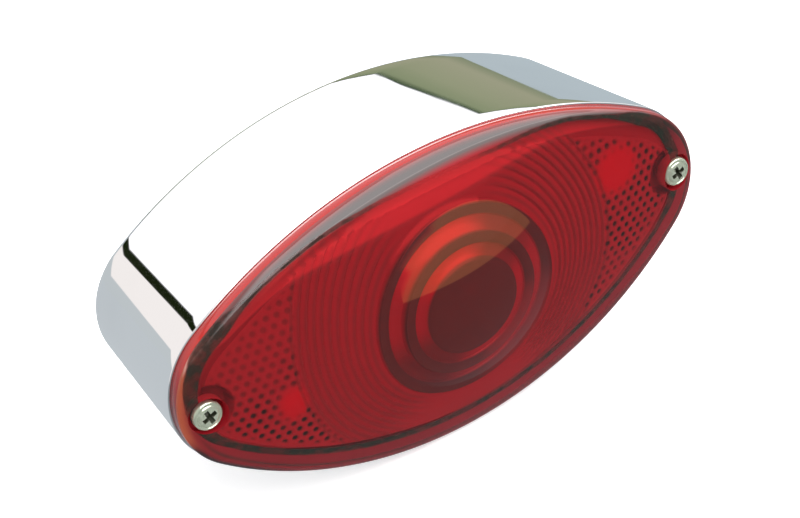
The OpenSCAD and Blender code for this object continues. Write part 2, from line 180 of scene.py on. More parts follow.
LENS_RED = (0.268, 0.012, 0.018)
# Painted light on the upper side of the bullseye
LENS_BACKLIT = (0.40, 0.006, 0.014)
# Painted shade: the dark disc and dark rings of the bullseye
LENS_RING_SHADE = (0.070, 0.020, 0.018)
LENS_PLAIN = (0.38, 0.003, 0.010)
# Painted shade at the middle of each reflex prism
LENS_DOT = (0.016, 0.010, 0.008)
# Painted reflections of the soft box: red over the crown, browner over the cap
LENS_SHEEN = (0.23, 0.004, 0.006)
LENS_CAP_SHEEN = (0.085, 0.034, 0.011)
BORDER_RED = (0.100, 0.006, 0.008)
# Painted shade on the upper border and on the rim at the lower left end
BORDER_SHADE = (0.012, 0.008, 0.008)
# Painted highlight along the upper rim of the border
BORDER_RIM_HIGHLIGHT = (0.30, 0.012, 0.010)
# Painted reflection, orange brown, on the rim at the left end
BORDER_END_REFLECTION = (0.26, 0.055, 0.026)
# Painted shade of the dark lines in the border
BORDER_LINE_SHADE = (0.010, 0.012, 0.008)
# Painted reflection of the overhead light on the border
BORDER_SHEEN = (1.0, 0.86, 0.84)
# Painted shade and painted light on the side of the lens
EDGE_DIM = (0.13, 0.006, 0.008)
EDGE_LIT = (0.40, 0.020, 0.016)

# ---- Small maths ----


def place(x, z, level):
    """A point of the lamp frame, in millimetres, as a point of the row frame in metres."""
    return Vector((x * MM, -level * MM, z * MM))


def place_all(points):
    """place() for an array of (x, z, level) rows."""
    p = np.asarray(points, float)
    return np.column_stack((p[:, 0], -p[:, 2], p[:, 1])) * MM


def big_radius(rise):
    """Radius of the arc that rises by "rise" and is tangent to both tip arcs."""
    half = HALF_LENGTH - TIP_RADIUS
    return (half**2 + rise**2 - TIP_RADIUS**2) / (2 * (rise - TIP_RADIUS))


def ray_angles(dense_half=38.0, dense_step=0.5, coarse_step=2.0):
    """Directions round the lamp's axis, in degrees, closer together towards the two tips."""
    dense = np.arange(-dense_half, dense_half, dense_step)
    coarse = np.arange(dense_half, 180 - dense_half, coarse_step)
    return np.concatenate((dense, coarse, dense + 180, coarse + 180))


def reach(angles, inset):
    """Distance from the axis to the oval moved inwards by "inset", in each direction."""
    a = np.radians(angles)
    ex, ez = np.abs(np.cos(a)), np.abs(np.sin(a))
    result = np.zeros(len(a))
    tip_x = HALF_LENGTH - TIP_RADIUS
    tip_r = TIP_RADIUS - inset
    for rise, half in ((TOP_RISE, np.sin(a) >= 0), (BOTTOM_DROP, np.sin(a) < 0)):
        radius = big_radius(rise)
        joint = math.atan2(radius - rise, tip_x)
        joint_x = tip_x + tip_r * math.cos(joint)
        joint_z = tip_r * math.sin(joint)
        on_tip = ez * joint_x < ex * joint_z
        along = ex * tip_x
        tip = along + np.sqrt(np.maximum(along**2 - tip_x**2 + tip_r**2, 0))
        centre_z = rise - radius
        along = ez * centre_z
        big = along + np.sqrt(along**2 - centre_z**2 + (radius - inset) ** 2)
        result = np.where(half, np.where(on_tip, tip, big), result)
    return result


def taper(level):
    return BACK_SCALE + (1 - BACK_SCALE) * level / DEPTH


def smoothstep(value, low, high):
    t = np.clip((value - low) / (high - low), 0, 1)
    return t * t * (3 - 2 * t)


# ---- Meshes ----


def linked(name, data):
    """New object of the scene."""
    obj = bpy.data.objects.new(name, data)
    bpy.context.scene.collection.objects.link(obj)
    return obj


def shade(mesh, sharp):
    """Smooth shading apart from edges sharper than "sharp" degrees."""
    mesh.shade_smooth()
    mesh.set_sharp_from_angle(angle=math.radians(sharp))


def make_object(name, points, faces, materials, face_slots=None, sharp=30.0):
    """Mesh object from row-frame points."""
    mesh = bpy.data.meshes.new(name)
    mesh.from_pydata([tuple(p) for p in points], [], [tuple(int(i) for i in f) for f in faces])
    for m in materials:
        mesh.materials.append(m)
    if face_slots is not None:
        mesh.polygons.foreach_set("material_index", np.asarray(face_slots, np.int32))
    clean(mesh)
    shade(mesh, sharp)
    return linked(name, mesh)


def clean(mesh, merge=1e-7):
    """Welds doubles and turns every face outwards."""
    bm = bmesh.new()
    bm.from_mesh(mesh)
    bmesh.ops.remove_doubles(bm, verts=bm.verts, dist=merge)
    bmesh.ops.dissolve_degenerate(bm, edges=bm.edges, dist=merge)
    bmesh.ops.recalc_face_normals(bm, faces=bm.faces)
    bm.to_mesh(mesh)
    bm.free()


def strip_faces(rings, count, first=0):
    """Quads between rings of "count" points each, stored one after another."""
    faces = []
    for i in range(rings - 1):
        a = first + i * count
        for j in range(count):
            k = (j + 1) % count
            faces.append((a + j, a + k, a + count + k, a + count + j))
    return faces


def fan_faces(hub, start, count):
    return [(hub, start + j, start + (j + 1) % count) for j in range(count)]


def loft(name, rings, materials, slots=None, sharp=30.0):
    """Closed solid through rings of (x, z, level) points, with a fan at both ends."""
    count = len(rings[0])
    points = np.concatenate(rings)
    hubs = np.array([rings[0].mean(0), rings[-1].mean(0)])
    hubs[:, 2] = (rings[0][0, 2], rings[-1][0, 2])
    faces = strip_faces(len(rings), count)
    total = len(points)
    faces += fan_faces(total, 0, count) + fan_faces(total + 1, total - count, count)
    face_slots = None
    if slots is not None:
        face_slots = np.repeat(slots, count).tolist() + [slots[0]] * count + [slots[-1]] * count
    return make_object(name, place_all(np.vstack((points, hubs))), faces, materials,
                       face_slots, sharp)


def lathe_rings(profile, centre=(0.0, 0.0), count=64):
    """Rings round an axis at "centre" for a profile of (radius, level) points."""
    a = np.linspace(0, 2 * math.pi, count, endpoint=False)
    return [
        np.column_stack((centre[0] + r * np.cos(a), centre[1] + r * np.sin(a),
                         np.full(count, level)))
        for r, level in profile
    ]


def lathe(name, profile, materials, centre=(0.0, 0.0), count=64, sharp=30.0, closed=False):
    """Solid of revolution; "closed" joins the profile's end to its start, for a ring."""
    rings = lathe_rings(profile, centre, count)
    if not closed:
        return loft(name, rings, materials, sharp=sharp)
    points = np.concatenate(rings + [rings[0]])
    faces = strip_faces(len(rings) + 1, count)
    return make_object(name, place_all(points), faces, materials, sharp=sharp)


def oval_ring(angles, level, inset, share=1.0):
    """One ring of points on the oval, moved inwards by "inset" and scaled by "share"."""
    r = share * reach(angles, inset)
    a = np.radians(angles)
    return np.column_stack((r * np.cos(a), r * np.sin(a), np.full(len(a), level)))


def arc_steps(steps, start=0.0, end=90.0):
    return np.radians(np.linspace(start, end, steps))


def joined(name, objects, sharp=30.0):
    """One object from several, in the row frame, keeping their materials."""
    bm = bmesh.new()
    materials = []
    for obj in objects:
        first = len(bm.faces)
        bm.from_mesh(obj.data)
        bm.faces.ensure_lookup_table()
        for face in bm.faces[first:]:
            m = obj.data.materials[face.material_index] if obj.data.materials else None
            if m not in materials:
                materials.append(m)
            face.material_index = materials.index(m)
    mesh = bpy.data.meshes.new(name)
    bm.to_mesh(mesh)
    bm.free()
    for m in materials:
        mesh.materials.append(m)
    for obj in objects:
        bpy.data.objects.remove(obj)
    shade(mesh, sharp)
    return linked(name, mesh)


def boolean(obj, tool, operation, sharp=30.0):
    """Applies a boolean with "tool" to obj and removes the tool."""
    m = obj.modifiers.new("cut", "BOOLEAN")
    m.operation = operation
    m.material_mode = "TRANSFER"
    m.object = tool
    m.solver = "EXACT"
    graph = bpy.context.evaluated_depsgraph_get()
    made = bpy.data.meshes.new_from_object(obj.evaluated_get(graph))
    obj.modifiers.clear()
    old = obj.data
    obj.data = made
    made.name = old.name + "_cut"
    bpy.data.objects.remove(tool)
    shade(made, sharp)
    return obj


def block(name, low, high, material):
    """Box between two lamp-frame corners, only used to cut other pieces."""
    bm = bmesh.new()
    bmesh.ops.create_cube(bm, size=1)
    for v in bm.verts:
        v.co = place(*[low[i] + (high[i] - low[i]) * (v.co[i] + 0.5) for i in range(3)])
    bmesh.ops.recalc_face_normals(bm, faces=bm.faces)
    mesh = bpy.data.meshes.new(name)
    bm.to_mesh(mesh)
    bm.free()
    mesh.materials.append(material)
    return linked(name, mesh)


def tube_rings(path, radius, sides):
    """Rings of a round tube along lamp-frame points; "radius" is a number or one per point."""
    p = np.asarray(path, float)
    radii = np.broadcast_to(radius, len(p))
    tangents = np.gradient(p, axis=0)
    tangents /= np.linalg.norm(tangents, axis=1)[:, None]
    side = np.cross(tangents[0], (0.3, 1.0, 0.2))
    rings = []
    a = np.linspace(0, 2 * math.pi, sides, endpoint=False)
    for point, t, r in zip(p, tangents, radii):
        side = side - t * (side @ t)
        side /= np.linalg.norm(side)
        other = np.cross(t, side)
        rings.append(point + r * (np.outer(np.cos(a), side) + np.outer(np.sin(a), other)))
    return rings


def tube(name, path, radius, material, sides=16, sharp=40.0):
    rings = tube_rings(path, radius, sides)
    points = np.concatenate(rings + [rings[0].mean(0)[None], rings[-1].mean(0)[None]])
    total = len(rings) * sides
    faces = strip_faces(len(rings), sides)
    faces += fan_faces(total, 0, sides) + fan_faces(total + 1, total - sides, sides)
    return make_object(name, place_all(points), faces, [material], sharp=sharp)


def threaded_rod(name, centre, low, high, diameter, pitch, material, sides=40):
    """Rod with a real helical thread and a short chamfer at its lower end."""
    per_turn = 8
    steps = int((high - low) / pitch * per_turn)
    a = np.linspace(0, 2 * math.pi, sides, endpoint=False)
    depth = 0.6 * pitch
    rings = []
    for i in range(steps + 1):
        level = low + (high - low) * i / steps
        phase = (level / pitch - a / (2 * math.pi)) % 1.0
        wave = np.abs(2 * phase - 1)
        r = diameter / 2 - depth * (1 - wave)
        r = np.minimum(r, diameter / 2 - 0.9 * pitch + (level - low))
        rings.append(np.column_stack((centre[0] + r * np.cos(a), centre[1] + r * np.sin(a),
                                      np.full(sides, level))))
    return loft(name, rings, [material], sharp=60.0)


# ---- Shader graphs ----


class Graph:
    """Short calls that add shader nodes; every value is a socket or a constant."""

    def __init__(self, tree):
        self.tree = tree
        tree.nodes.clear()

    def node(self, kind, inputs=None, **settings):
        n = self.tree.nodes.new("ShaderNode" + kind)
        for key, value in settings.items():
            setattr(n, key, value)
        for key, value in (inputs or {}).items():
            self.feed(n.inputs[key], value)
        return n

    def feed(self, socket, value):
        if isinstance(value, bpy.types.NodeSocket):
            self.tree.links.new(value, socket)
        elif socket.type == "RGBA":
            socket.default_value = (*value, 1.0)
        else:
            socket.default_value = value

    def math(self, operation, a, b=0.0, c=0.0, clamp=False):
        n = self.node("Math", {0: a, 1: b, 2: c}, operation=operation)
        n.use_clamp = clamp
        return n.outputs[0]

    def mul(self, a, b):
        return self.math("MULTIPLY", a, b)

    def plus(self, a, b, clamp=False):
        return self.math("ADD", a, b, clamp=clamp)

    def minus(self, a, b):
        return self.math("SUBTRACT", a, b)

    def smooth(self, value, low, high, start=0.0, end=1.0):
        """Smooth step from "start" at low to "end" at high."""
        n = self.node("MapRange", {0: value, 1: low, 2: high, 3: start, 4: end},
                      interpolation_type="SMOOTHSTEP")
        return n.outputs[0]

    def band(self, value, low, high, soft):
        """1 between low and high, 0 outside, with soft edges."""
        rise = self.smooth(value, low - soft, low + soft)
        fall = self.smooth(value, high - soft, high + soft, 1.0, 0.0)
        return self.mul(rise, fall)

    def mix(self, factor, a, b):
        n = self.node("Mix", data_type="RGBA")
        for index, value in ((0, factor), (6, a), (7, b)):
            self.feed(n.inputs[index], value)
        return n.outputs[2]

    def scaled(self, colour, factor):
        """Colour times a number."""
        n = self.node("VectorMath", {0: colour}, operation="SCALE")
        self.feed(n.inputs["Scale"], factor)
        return n.outputs[0]

    def ramp(self, value, stops, interpolation="LINEAR"):
        n = self.node("ValToRGB", {0: value})
        n.color_ramp.interpolation = interpolation
        elements = n.color_ramp.elements
        while len(elements) < len(stops):
            elements.new(0.5)
        for element, (position, colour) in zip(elements, stops):
            element.position = position
            element.color = (*colour, 1.0)
        return n.outputs[0]

    def noise(self, scale, detail=2.0, roughness=0.5, vector=None):
        n = self.node("TexNoise", {"Scale": scale, "Detail": detail,
                                             "Roughness": roughness})
        self.feed(n.inputs["Vector"], vector or self.coords())
        return n.outputs[0]

    def coords(self):
        return self.node("TexCoord").outputs["Object"]

    def bump(self, height, strength, distance):
        n = self.node("Bump", {"Strength": strength, "Distance": distance,
                                         "Height": height})
        return n.outputs[0]

    def emission(self, colour, strength):
        n = self.node("Emission", {"Color": colour, "Strength": strength})
        return n.outputs[0]

    def mix_shader(self, factor, a, b):
        n = self.node("MixShader", {0: factor, 1: a, 2: b})
        return n.outputs[0]

    def add_shader(self, a, b):
        return self.node("AddShader", {0: a, 1: b}).outputs[0]

    def output(self, shader, kind="OutputMaterial"):
        self.node(kind, {"Surface": shader})


def material(name):
    mat = bpy.data.materials.new(name)
    mat.use_nodes = True
    return mat, Graph(mat.node_tree)


def finish(name, colour, worn, metallic=0.0, roughness=0.4, spread=0.15, grain=900.0,
           blotch=60.0, relief=0.00002, coat=0.0, specular=0.5):
    """Solid finish with slow blotches, fine grain and edges rubbed towards "worn"."""
    mat, g = material(name)
    slow = g.noise(blotch, 3.0, 0.6)
    fine = g.noise(grain, 3.0, 0.7)
    rubbed = g.smooth(g.node("NewGeometry").outputs["Pointiness"], 0.52, 0.6)
    rubbed = g.mul(rubbed, g.smooth(slow, 0.3, 0.7))
    tone = g.plus(0.82, g.mul(slow, 0.36))
    base = g.mix(rubbed, g.scaled(colour, tone), worn)
    rough = g.plus(roughness - spread / 2, g.mul(fine, spread))
    shader = g.node("BsdfPrincipled", {
        "Base Color": base, "Metallic": metallic, "Roughness": rough,
        "Normal": g.bump(fine, 0.5, relief), "Coat Weight": coat,
        "Specular IOR Level": specular,
    })
    g.output(shader.outputs[0])
    return mat


def chrome_finish(name):
    """Bright plating over a casting: a slow ripple, faint haze and hairline scratches."""
    mat, g = material(name)
    slow = g.noise(35.0, 2.0, 0.5)
    stretch = g.node("Mapping", {"Vector": g.coords(), "Scale": (0.25, 1.0, 6.0)})
    hair = g.noise(700.0, 4.0, 0.7, stretch.outputs[0])
    haze = g.smooth(slow, 0.45, 0.75)
    scratch = g.smooth(hair, 0.66, 0.74)
    rough = g.plus(0.025, g.mul(haze, 0.03))
    rough = g.plus(rough, g.mul(scratch, 0.05))
    base = g.mix(haze, (0.93, 0.935, 0.94), (0.9, 0.905, 0.91))
    shader = g.node("BsdfPrincipled", {
        "Base Color": base, "Metallic": 1.0, "Roughness": rough,
        "Normal": g.bump(slow, 0.12, 0.0002),
    })
    g.output(shader.outputs[0])
    return mat


def clear_finish(name, tint, haze=0.02):
    """Clear glass or plastic with a faint unevenness in its polish."""
    mat, g = material(name)
    slow = g.noise(120.0, 2.0, 0.5)
    rough = g.plus(haze * 0.5, g.mul(slow, haze))
    shader = g.node("BsdfPrincipled", {
        "Base Color": g.mix(slow, tint, tuple(0.96 * c for c in tint)),
        "Transmission Weight": 1.0, "IOR": 1.48, "Roughness": rough,
        "Normal": g.bump(slow, 0.06, 0.0002),
    })
    g.output(shader.outputs[0])
    return mat


def layered_finish(name, colour, line):
    """Brown laminate: thin sheets of paper in resin, seen as fine lines on the cut edge."""
    mat, g = material(name)
    spot = g.node("SeparateXYZ", {0: g.coords()}).outputs
    sheets = g.math("FRACT", g.mul(spot[1], 1 / 0.00025))
    edge = g.smooth(g.math("ABSOLUTE", g.minus(sheets, 0.5)), 0.3, 0.5)
    fibre = g.noise(1400.0, 4.0, 0.7)
    mixed = g.mul(g.plus(edge, fibre), 0.5)
    shader = g.node("BsdfPrincipled", {
        "Base Color": g.mix(mixed, colour, line), "Roughness": 0.45,
        "Normal": g.bump(fibre, 0.4, 0.00003),
    })
    g.output(shader.outputs[0])
    return mat


def foam_finish(name, colour):
    """Closed-cell foam rubber: fine pores over a soft mottle."""
    mat, g = material(name)
    cells = g.node("TexVoronoi", {"Vector": g.coords(), "Scale": 1800.0}).outputs[0]
    slow = g.noise(150.0, 3.0, 0.6)
    base = g.mix(slow, colour, tuple(1.7 * c for c in colour))
    base = g.mix(g.smooth(cells, 0.0, 0.35, 0.6, 0.0), base, (0.008, 0.008, 0.008))
    shader = g.node("BsdfPrincipled", {
        "Base Color": base, "Roughness": 0.85, "Normal": g.bump(cells, 0.6, 0.00008),
    })
    g.output(shader.outputs[0])
    return mat


def dress(mat, *names):
    """Gives CAD nodes a finish."""
    for node_name in names:
        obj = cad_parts[node_name]
        if not obj.material_slots:
            obj.data.materials.append(mat)
        for material_slot in obj.material_slots:
            material_slot.material = mat


def stands_for(obj, node_name, body):
    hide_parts(node_name)
    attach(obj, body)


def mirrored_height(g):
    """Elevation, in degrees, of the direction that a surface mirrors towards the eye."""
    surface = g.node("NewGeometry").outputs
    mirrored = g.node("VectorMath", {0: surface["Incoming"], 1: surface["Normal"]},
                      operation="REFLECT").outputs[0]
    up = g.node("SeparateXYZ", {0: mirrored}).outputs[2]
    return g.mul(g.math("ARCSINE", g.mul(up, -1.0)), 180 / math.pi)


def attribute(g, name):
    return g.node("Attribute", attribute_name=name).outputs["Fac"]


def lens_sheen(g, height):
    """Painted reflection: red light, drawn as emission, where the inside of the lens mirrors the
    soft box.
    """
    cap = attribute(g, "cap")
    rise = g.minus(height, g.minus(0.2, g.mul(cap, 10.7)))
    tint = g.mix(cap, LENS_SHEEN, LENS_CAP_SHEEN)
    strength = g.mul(g.smooth(rise, -0.8, 0.8), attribute(g, "sheen"))
    return g.emission(tint, strength)


def border_colour(g, height, line, second):
    """Colours of the border: red below; painted shade above, red again in the middle where the
    border mirrors no overhead light; a painted highlight along the upper rim; a painted reflection
    at the left end; painted shade at the lower left end and in the dark lines.
    """
    slow = g.noise(30.0, 2.0, 0.5)
    upper = attribute(g, "upper")
    # Red in the middle of the top, where the border mirrors no overhead light
    below = g.smooth(height, KEY_FOOT - 14.0, KEY_FOOT - 2.0, 1.0, 0.0)
    colour = g.mix(slow, BORDER_RED, tuple(1.5 * c for c in BORDER_RED))
    for share, shade in (
        (upper, BORDER_SHADE),
        (g.mul(attribute(g, "middle"), below), LENS_RED),
        (g.mul(attribute(g, "rim"), upper), BORDER_RIM_HIGHLIGHT),
        (attribute(g, "left_end_reflection"), BORDER_END_REFLECTION),
        (attribute(g, "low_end_shade"), BORDER_SHADE),
        (g.math("MAXIMUM", line, second), BORDER_LINE_SHADE),
    ):
        colour = g.mix(share, colour, shade)
    return colour


def lens_border(g, height, seen):
    """Thick border, where the moulding's wall shows as a dark line of painted shade with plain red
    outside it.

    Returns how much of the border covers a point, and its shader.
    """
    half = attribute(g, "wall_half")
    away = g.minus(attribute(g, "wall"), WALL_LINE)
    away = g.plus(away, g.mul(g.minus(g.noise(220.0, 2.0, 0.5), 0.5), 0.5))
    beyond = g.smooth(g.plus(away, half), -0.15, 0.25, 1.0, 0.0)
    line = g.smooth(g.minus(g.math("ABSOLUTE", away), half), -0.2, 0.25, 1.0, 0.0)
    patchy = g.smooth(g.noise(260.0, 3.0, 0.6), 0.4, 0.6, 0.8, 1.0)
    line = g.mul(g.mul(line, attribute(g, "line_share")), patchy)
    second = g.mul(attribute(g, "second_line"), beyond)
    colour = border_colour(g, height, line, second)
    thick = g.node("BsdfDiffuse", {"Color": colour}).outputs[0]

    # Painted reflection: a pale sheen, drawn as emission, where the border mirrors the light
    # overhead
    overhead = g.mul(g.smooth(height, KEY_FOOT - 15.0, KEY_FOOT), seen)
    overhead = g.mul(overhead, g.smooth(height, KEY_FOOT, KEY_FOOT + 2.0, 1.0, 0.35))
    painted_veil = g.mul(g.mul(overhead, g.minus(1.0, line)), 0.23)
    share = g.math("MAXIMUM", beyond, g.mul(line, 0.92))
    return share, g.add_shader(thick, g.emission(BORDER_SHEEN, painted_veil))


def lens_skin_finish(name):
    """Polished outer skin: it mirrors a little, lets the moulded optics show through and carries the
    painted sheen and the painted border.
    """
    mat, g = material(name)
    slow = g.noise(30.0, 2.0, 0.5)
    rough = g.plus(0.02, g.mul(g.smooth(slow, 0.4, 0.8), 0.03))
    ripple = g.bump(slow, 0.05, 0.0002)
    fresnel = g.node("Fresnel", {"IOR": 1.5, "Normal": ripple}).outputs[0]
    gloss = g.node("BsdfGlossy", {"Color": (1, 1, 1), "Roughness": rough,
                                            "Normal": ripple}).outputs[0]
    clear = g.node("BsdfTransparent", {"Color": (1.0, 0.75, 0.75)}).outputs[0]
    outside = g.minus(1.0, g.node("NewGeometry").outputs["Backfacing"])
    seen = g.node("LightPath").outputs["Is Camera Ray"]
    height = mirrored_height(g)
    lit = g.add_shader(clear, lens_sheen(g, height))
    lit = g.mix_shader(g.mul(outside, seen), clear, lit)
    share, border = lens_border(g, height, seen)
    lit = g.mix_shader(g.mul(share, outside), lit, border)
    g.output(g.mix_shader(g.mul(fresnel, outside), lit, gloss))
    return mat


def lens_edge_finish(name):
    """Side of the lens: thick red plastic with painted light where it faces up and painted shade
    where it faces down.
    """
    mat, g = material(name)
    slow = g.noise(60.0, 3.0, 0.6)
    up = g.node("SeparateXYZ",
                {0: g.node("NewGeometry").outputs["Normal"]}).outputs[2]
    base = g.mix(g.smooth(up, 0.1, 0.9), EDGE_DIM, EDGE_LIT)
    base = g.scaled(base, g.plus(0.85, g.mul(slow, 0.3)))
    rough = g.plus(0.06, g.mul(slow, 0.06))
    shader = g.node("BsdfPrincipled", {
        "Base Color": base, "Roughness": rough, "IOR": 1.5,
        "Normal": g.bump(slow, 0.05, 0.0002),
    })
    g.output(shader.outputs[0])
    return mat


def ring_shade(g, radius):
    """Painted shade and painted light on the bullseye: a dark disc and dark rings of painted shade,
    deeper to the lower left and upper right, lifted to the lower right, and painted light above.
    """
    dark = g.smooth(radius, RING_EDGES[0] - 0.25, RING_EDGES[0] + 0.25, 1.0, 0.0)
    for low, high in (RING_EDGES[1:3], RING_EDGES[3:5]):
        dark = g.math("MAXIMUM", dark, g.band(radius, low, high, 0.25))
    beyond_disc = g.smooth(radius, RING_EDGES[0], RING_EDGES[0] + 0.5, 0.0, 0.45)
    soft = g.mul(attribute(g, "ring_soft"), beyond_disc)
    dark = g.mul(dark, g.minus(1.0, soft))
    inside = g.smooth(radius, RING_EDGES[-1] - 0.2, RING_EDGES[-1] + 0.2, 1.0, 0.0)
    dim = g.mul(g.mul(attribute(g, "ring_dim"), 0.75), inside)
    return g.math("MAXIMUM", dark, dim), g.mul(attribute(g, "ring_bright"), inside)


def rib_shade(g, radius):
    """Painted shade: a narrow dark line on the return of each rib."""
    phase = g.math("FRACT", g.math("DIVIDE", g.minus(radius, RIB_START), RIB_PITCH))
    line = g.smooth(g.math("ABSOLUTE", g.minus(phase, 0.5)), 0.1, 0.4)
    return g.mul(g.mul(line, attribute(g, "ribs")), 0.34)


def prism_shade(g):
    """Painted shade: a dark point at the middle of each prism."""
    away = attribute(g, "prism_away")
    point = g.smooth(away, DOT_RADIUS - 0.28, DOT_RADIUS + 0.28, 1.0, 0.0)
    patchy = g.smooth(g.noise(90.0, 2.0, 0.5), 0.3, 0.6, 0.55, 1.0)
    return g.mul(g.mul(point, attribute(g, "prisms")), patchy)


def lens_optics_finish(name):
    """Moulded inside of the lens, coloured with painted light and shade by its place in the pattern.
    """
    mat, g = material(name)
    radius = attribute(g, "ring")
    dark, backlit = ring_shade(g, radius)
    dark = g.math("MAXIMUM", dark, rib_shade(g, radius))
    mottle = g.noise(160.0, 3.0, 0.6)
    dark = g.plus(dark, g.mul(g.minus(mottle, 0.5), 0.16), clamp=True)
    base = g.mix(attribute(g, "plain"), LENS_RED, LENS_PLAIN)
    # Painted light on the upper side of the bullseye
    base = g.mix(backlit, base, LENS_BACKLIT)
    # Painted shade of the disc, the rings and the rib returns
    base = g.mix(dark, base, LENS_RING_SHADE)
    base = g.mix(prism_shade(g), base, LENS_DOT)
    diffuse = g.node("BsdfDiffuse", {"Color": base}).outputs[0]
    glow = g.node("BsdfTranslucent", {"Color": base}).outputs[0]
    gloss = g.node("BsdfGlossy", {"Color": (0.6, 0.05, 0.05),
                                            "Roughness": 0.25}).outputs[0]
    g.output(g.mix_shader(0.08, g.mix_shader(0.35, diffuse, glow), gloss))
    return mat


# ---- Lens ----


def crown_level(k):
    return DEPTH + LENS_EDGE + CROWN_RISE * (1 - np.power(k, CROWN_POWER))


def cap_level(radius):
    """Extra height of the bullseye."""
    return BULLSEYE_RISE * np.maximum(0, 1 - (radius / BULLSEYE_RADIUS) ** 2)


def surface_ring(angles, radii, rim):
    """Ring on the crown at a distance from the axis for each direction."""
    a = np.radians(angles)
    level = crown_level(radii / rim) + cap_level(radii)
    return np.column_stack((radii * np.cos(a), radii * np.sin(a), level))


def lens_outer_rings(angles):
    """Rings from the middle of the bullseye out over the crown and down the edge."""
    rim = reach(angles, LENS_INSET)
    rings = [surface_ring(angles, np.full(len(angles), r), rim)
             for r in np.linspace(1.5, BULLSEYE_RADIUS - 0.35, 14)]
    rings += [surface_ring(angles, np.full(len(angles), r), rim)
              for r in (BULLSEYE_RADIUS - 0.1, BULLSEYE_RADIUS + 0.15)]
    shoulder = reach(angles, LENS_INSET + SHOULDER_WIDTH)
    first = BULLSEYE_RADIUS + 0.5
    for share in np.linspace(0, 1, 30):
        rings.append(surface_ring(angles, first + (shoulder - first) * share, rim))
    top = rings[-1][:, 2]
    drop = 1.6
    low = DEPTH + LENS_EDGE - drop
    for a in arc_steps(9)[1:]:
        radii = shoulder + (rim - shoulder) * np.sin(a)
        slope = (top - crown_level(1.0)) * (1 - np.sin(a))
        level = low + (DEPTH + LENS_EDGE - low) * np.cos(a) ** 0.8 + slope
        ring = surface_ring(angles, radii, rim)
        ring[:, 2] = level
        rings.append(ring)
    rings.append(oval_ring(angles, LENS_BASE + 0.25, LENS_INSET))
    rings.append(oval_ring(angles, LENS_BASE, LENS_INSET + 0.2))
    return rings


def lens_wall_rings(angles):
    """Rings along the underside of the edge, round the skirt and up the inside wall."""
    path = [
        (LENS_BASE, SKIRT_OUTER), (SKIRT_BOTTOM + 0.3, SKIRT_OUTER),
        (SKIRT_BOTTOM, SKIRT_OUTER + 0.3), (SKIRT_BOTTOM, SKIRT_INNER - 0.3),
        (SKIRT_BOTTOM + 0.3, SKIRT_INNER), (DEPTH - 0.6, SKIRT_INNER), (DEPTH + 0.5, 5.1),
        (INNER_CORNER_LEVEL - 1.2, 6.3), (INNER_CORNER_LEVEL - 0.3, 6.8),
    ]
    return [oval_ring(angles, level, inset) for level, inset in path]


def ring_relief(radius):
    """Steps of the bullseye's inside: raised lands between tilted rings."""
    radii = [0]
    for edge in RING_EDGES:
        radii += [edge - RING_STEP, edge + RING_STEP]
    rises = [0, 0, 0.9, 0.9, 0.1, -0.7, 0.7, 0.7, 0.1, -1.0, 0]
    return np.interp(radius, radii, rises)


def ring_shift(radius):
    """How much of the rings' own centre applies at a radius."""
    return 1 - smoothstep(radius, RING_EDGES[-1], RING_EDGES[-1] + RING_FADE)


def ring_radius(x, z):
    """Radius in the moulded pattern, whose rings sit off the lamp's axis."""
    u, v = np.array(x), np.array(z)
    for _ in range(12):
        share = ring_shift(np.hypot(u, v))
        u, v = x - RING_CENTRE[0] * share, z - RING_CENTRE[1] * share
    return np.hypot(u, v)


def rib_mask(x, z):
    """Where the ribs are: to the left and right of the bullseye."""
    radius = ring_radius(x, z)
    side = smoothstep(np.abs(x) / np.maximum(radius, 1e-6), 0.35, 0.7)
    return side * smoothstep(radius, RIB_START - 0.5, RIB_START) * (radius < RIB_END)


def prism_mask(x, z, inset):
    """Where the reflex prisms are: beyond the ribs, clear of the screws and two plain patches."""
    radius = np.hypot(x, z)
    mask = smoothstep(radius, PRISM_START, PRISM_START + 1.5)
    mask = mask * smoothstep(inset, INNER_CORNER + 0.6, INNER_CORNER + 1.6)
    screw = np.hypot(np.abs(x) - SCREW_X, z)
    mask = mask * smoothstep(screw, 6.0, 7.5)
    # The prisms, and so their painted dark points, fade towards the upper left
    faint = 0.45 + 0.55 * smoothstep(0.55 * (x + 56.0) - z, -4.0, 8.0)
    mask = mask * np.where(x < 0, faint, 1.0)
    return mask * (1 - plain_mask(x, z))


def plain_mask(x, z):
    """The two patches without prisms."""
    mask = np.zeros(len(x))
    for cx, cz, rx, rz in PLAIN_PATCHES:
        away = np.hypot((x - cx) / rx, (z - cz) / rz)
        mask = np.maximum(mask, 1 - smoothstep(away, 0.6, 1.25))
    return mask


def prism_away(x, z):
    """Distance of each point to the nearest prism, on a triangular grid with level rows."""
    turn = math.radians(PRISM_TURN)
    x, z = x - PRISM_SHIFT[0], z - PRISM_SHIFT[1]
    u = x * math.cos(turn) + z * math.sin(turn)
    v = z * math.cos(turn) - x * math.sin(turn)
    row = PRISM_PITCH * math.sqrt(3) / 2
    best = np.full(len(x), 1e9)
    for step in (-1, 0, 1):
        line = np.round(v / row) + step
        shift = 0.5 * PRISM_PITCH * (line % 2)
        column = np.round((u - shift) / PRISM_PITCH)
        away = np.hypot(u - shift - column * PRISM_PITCH, v - line * row)
        best = np.minimum(best, away)
    return best


def prism_height(x, z):
    """Little pyramids on the triangular grid."""
    return PRISM_HEIGHT * np.maximum(0, 1 - prism_away(x, z) / (0.48 * PRISM_PITCH))


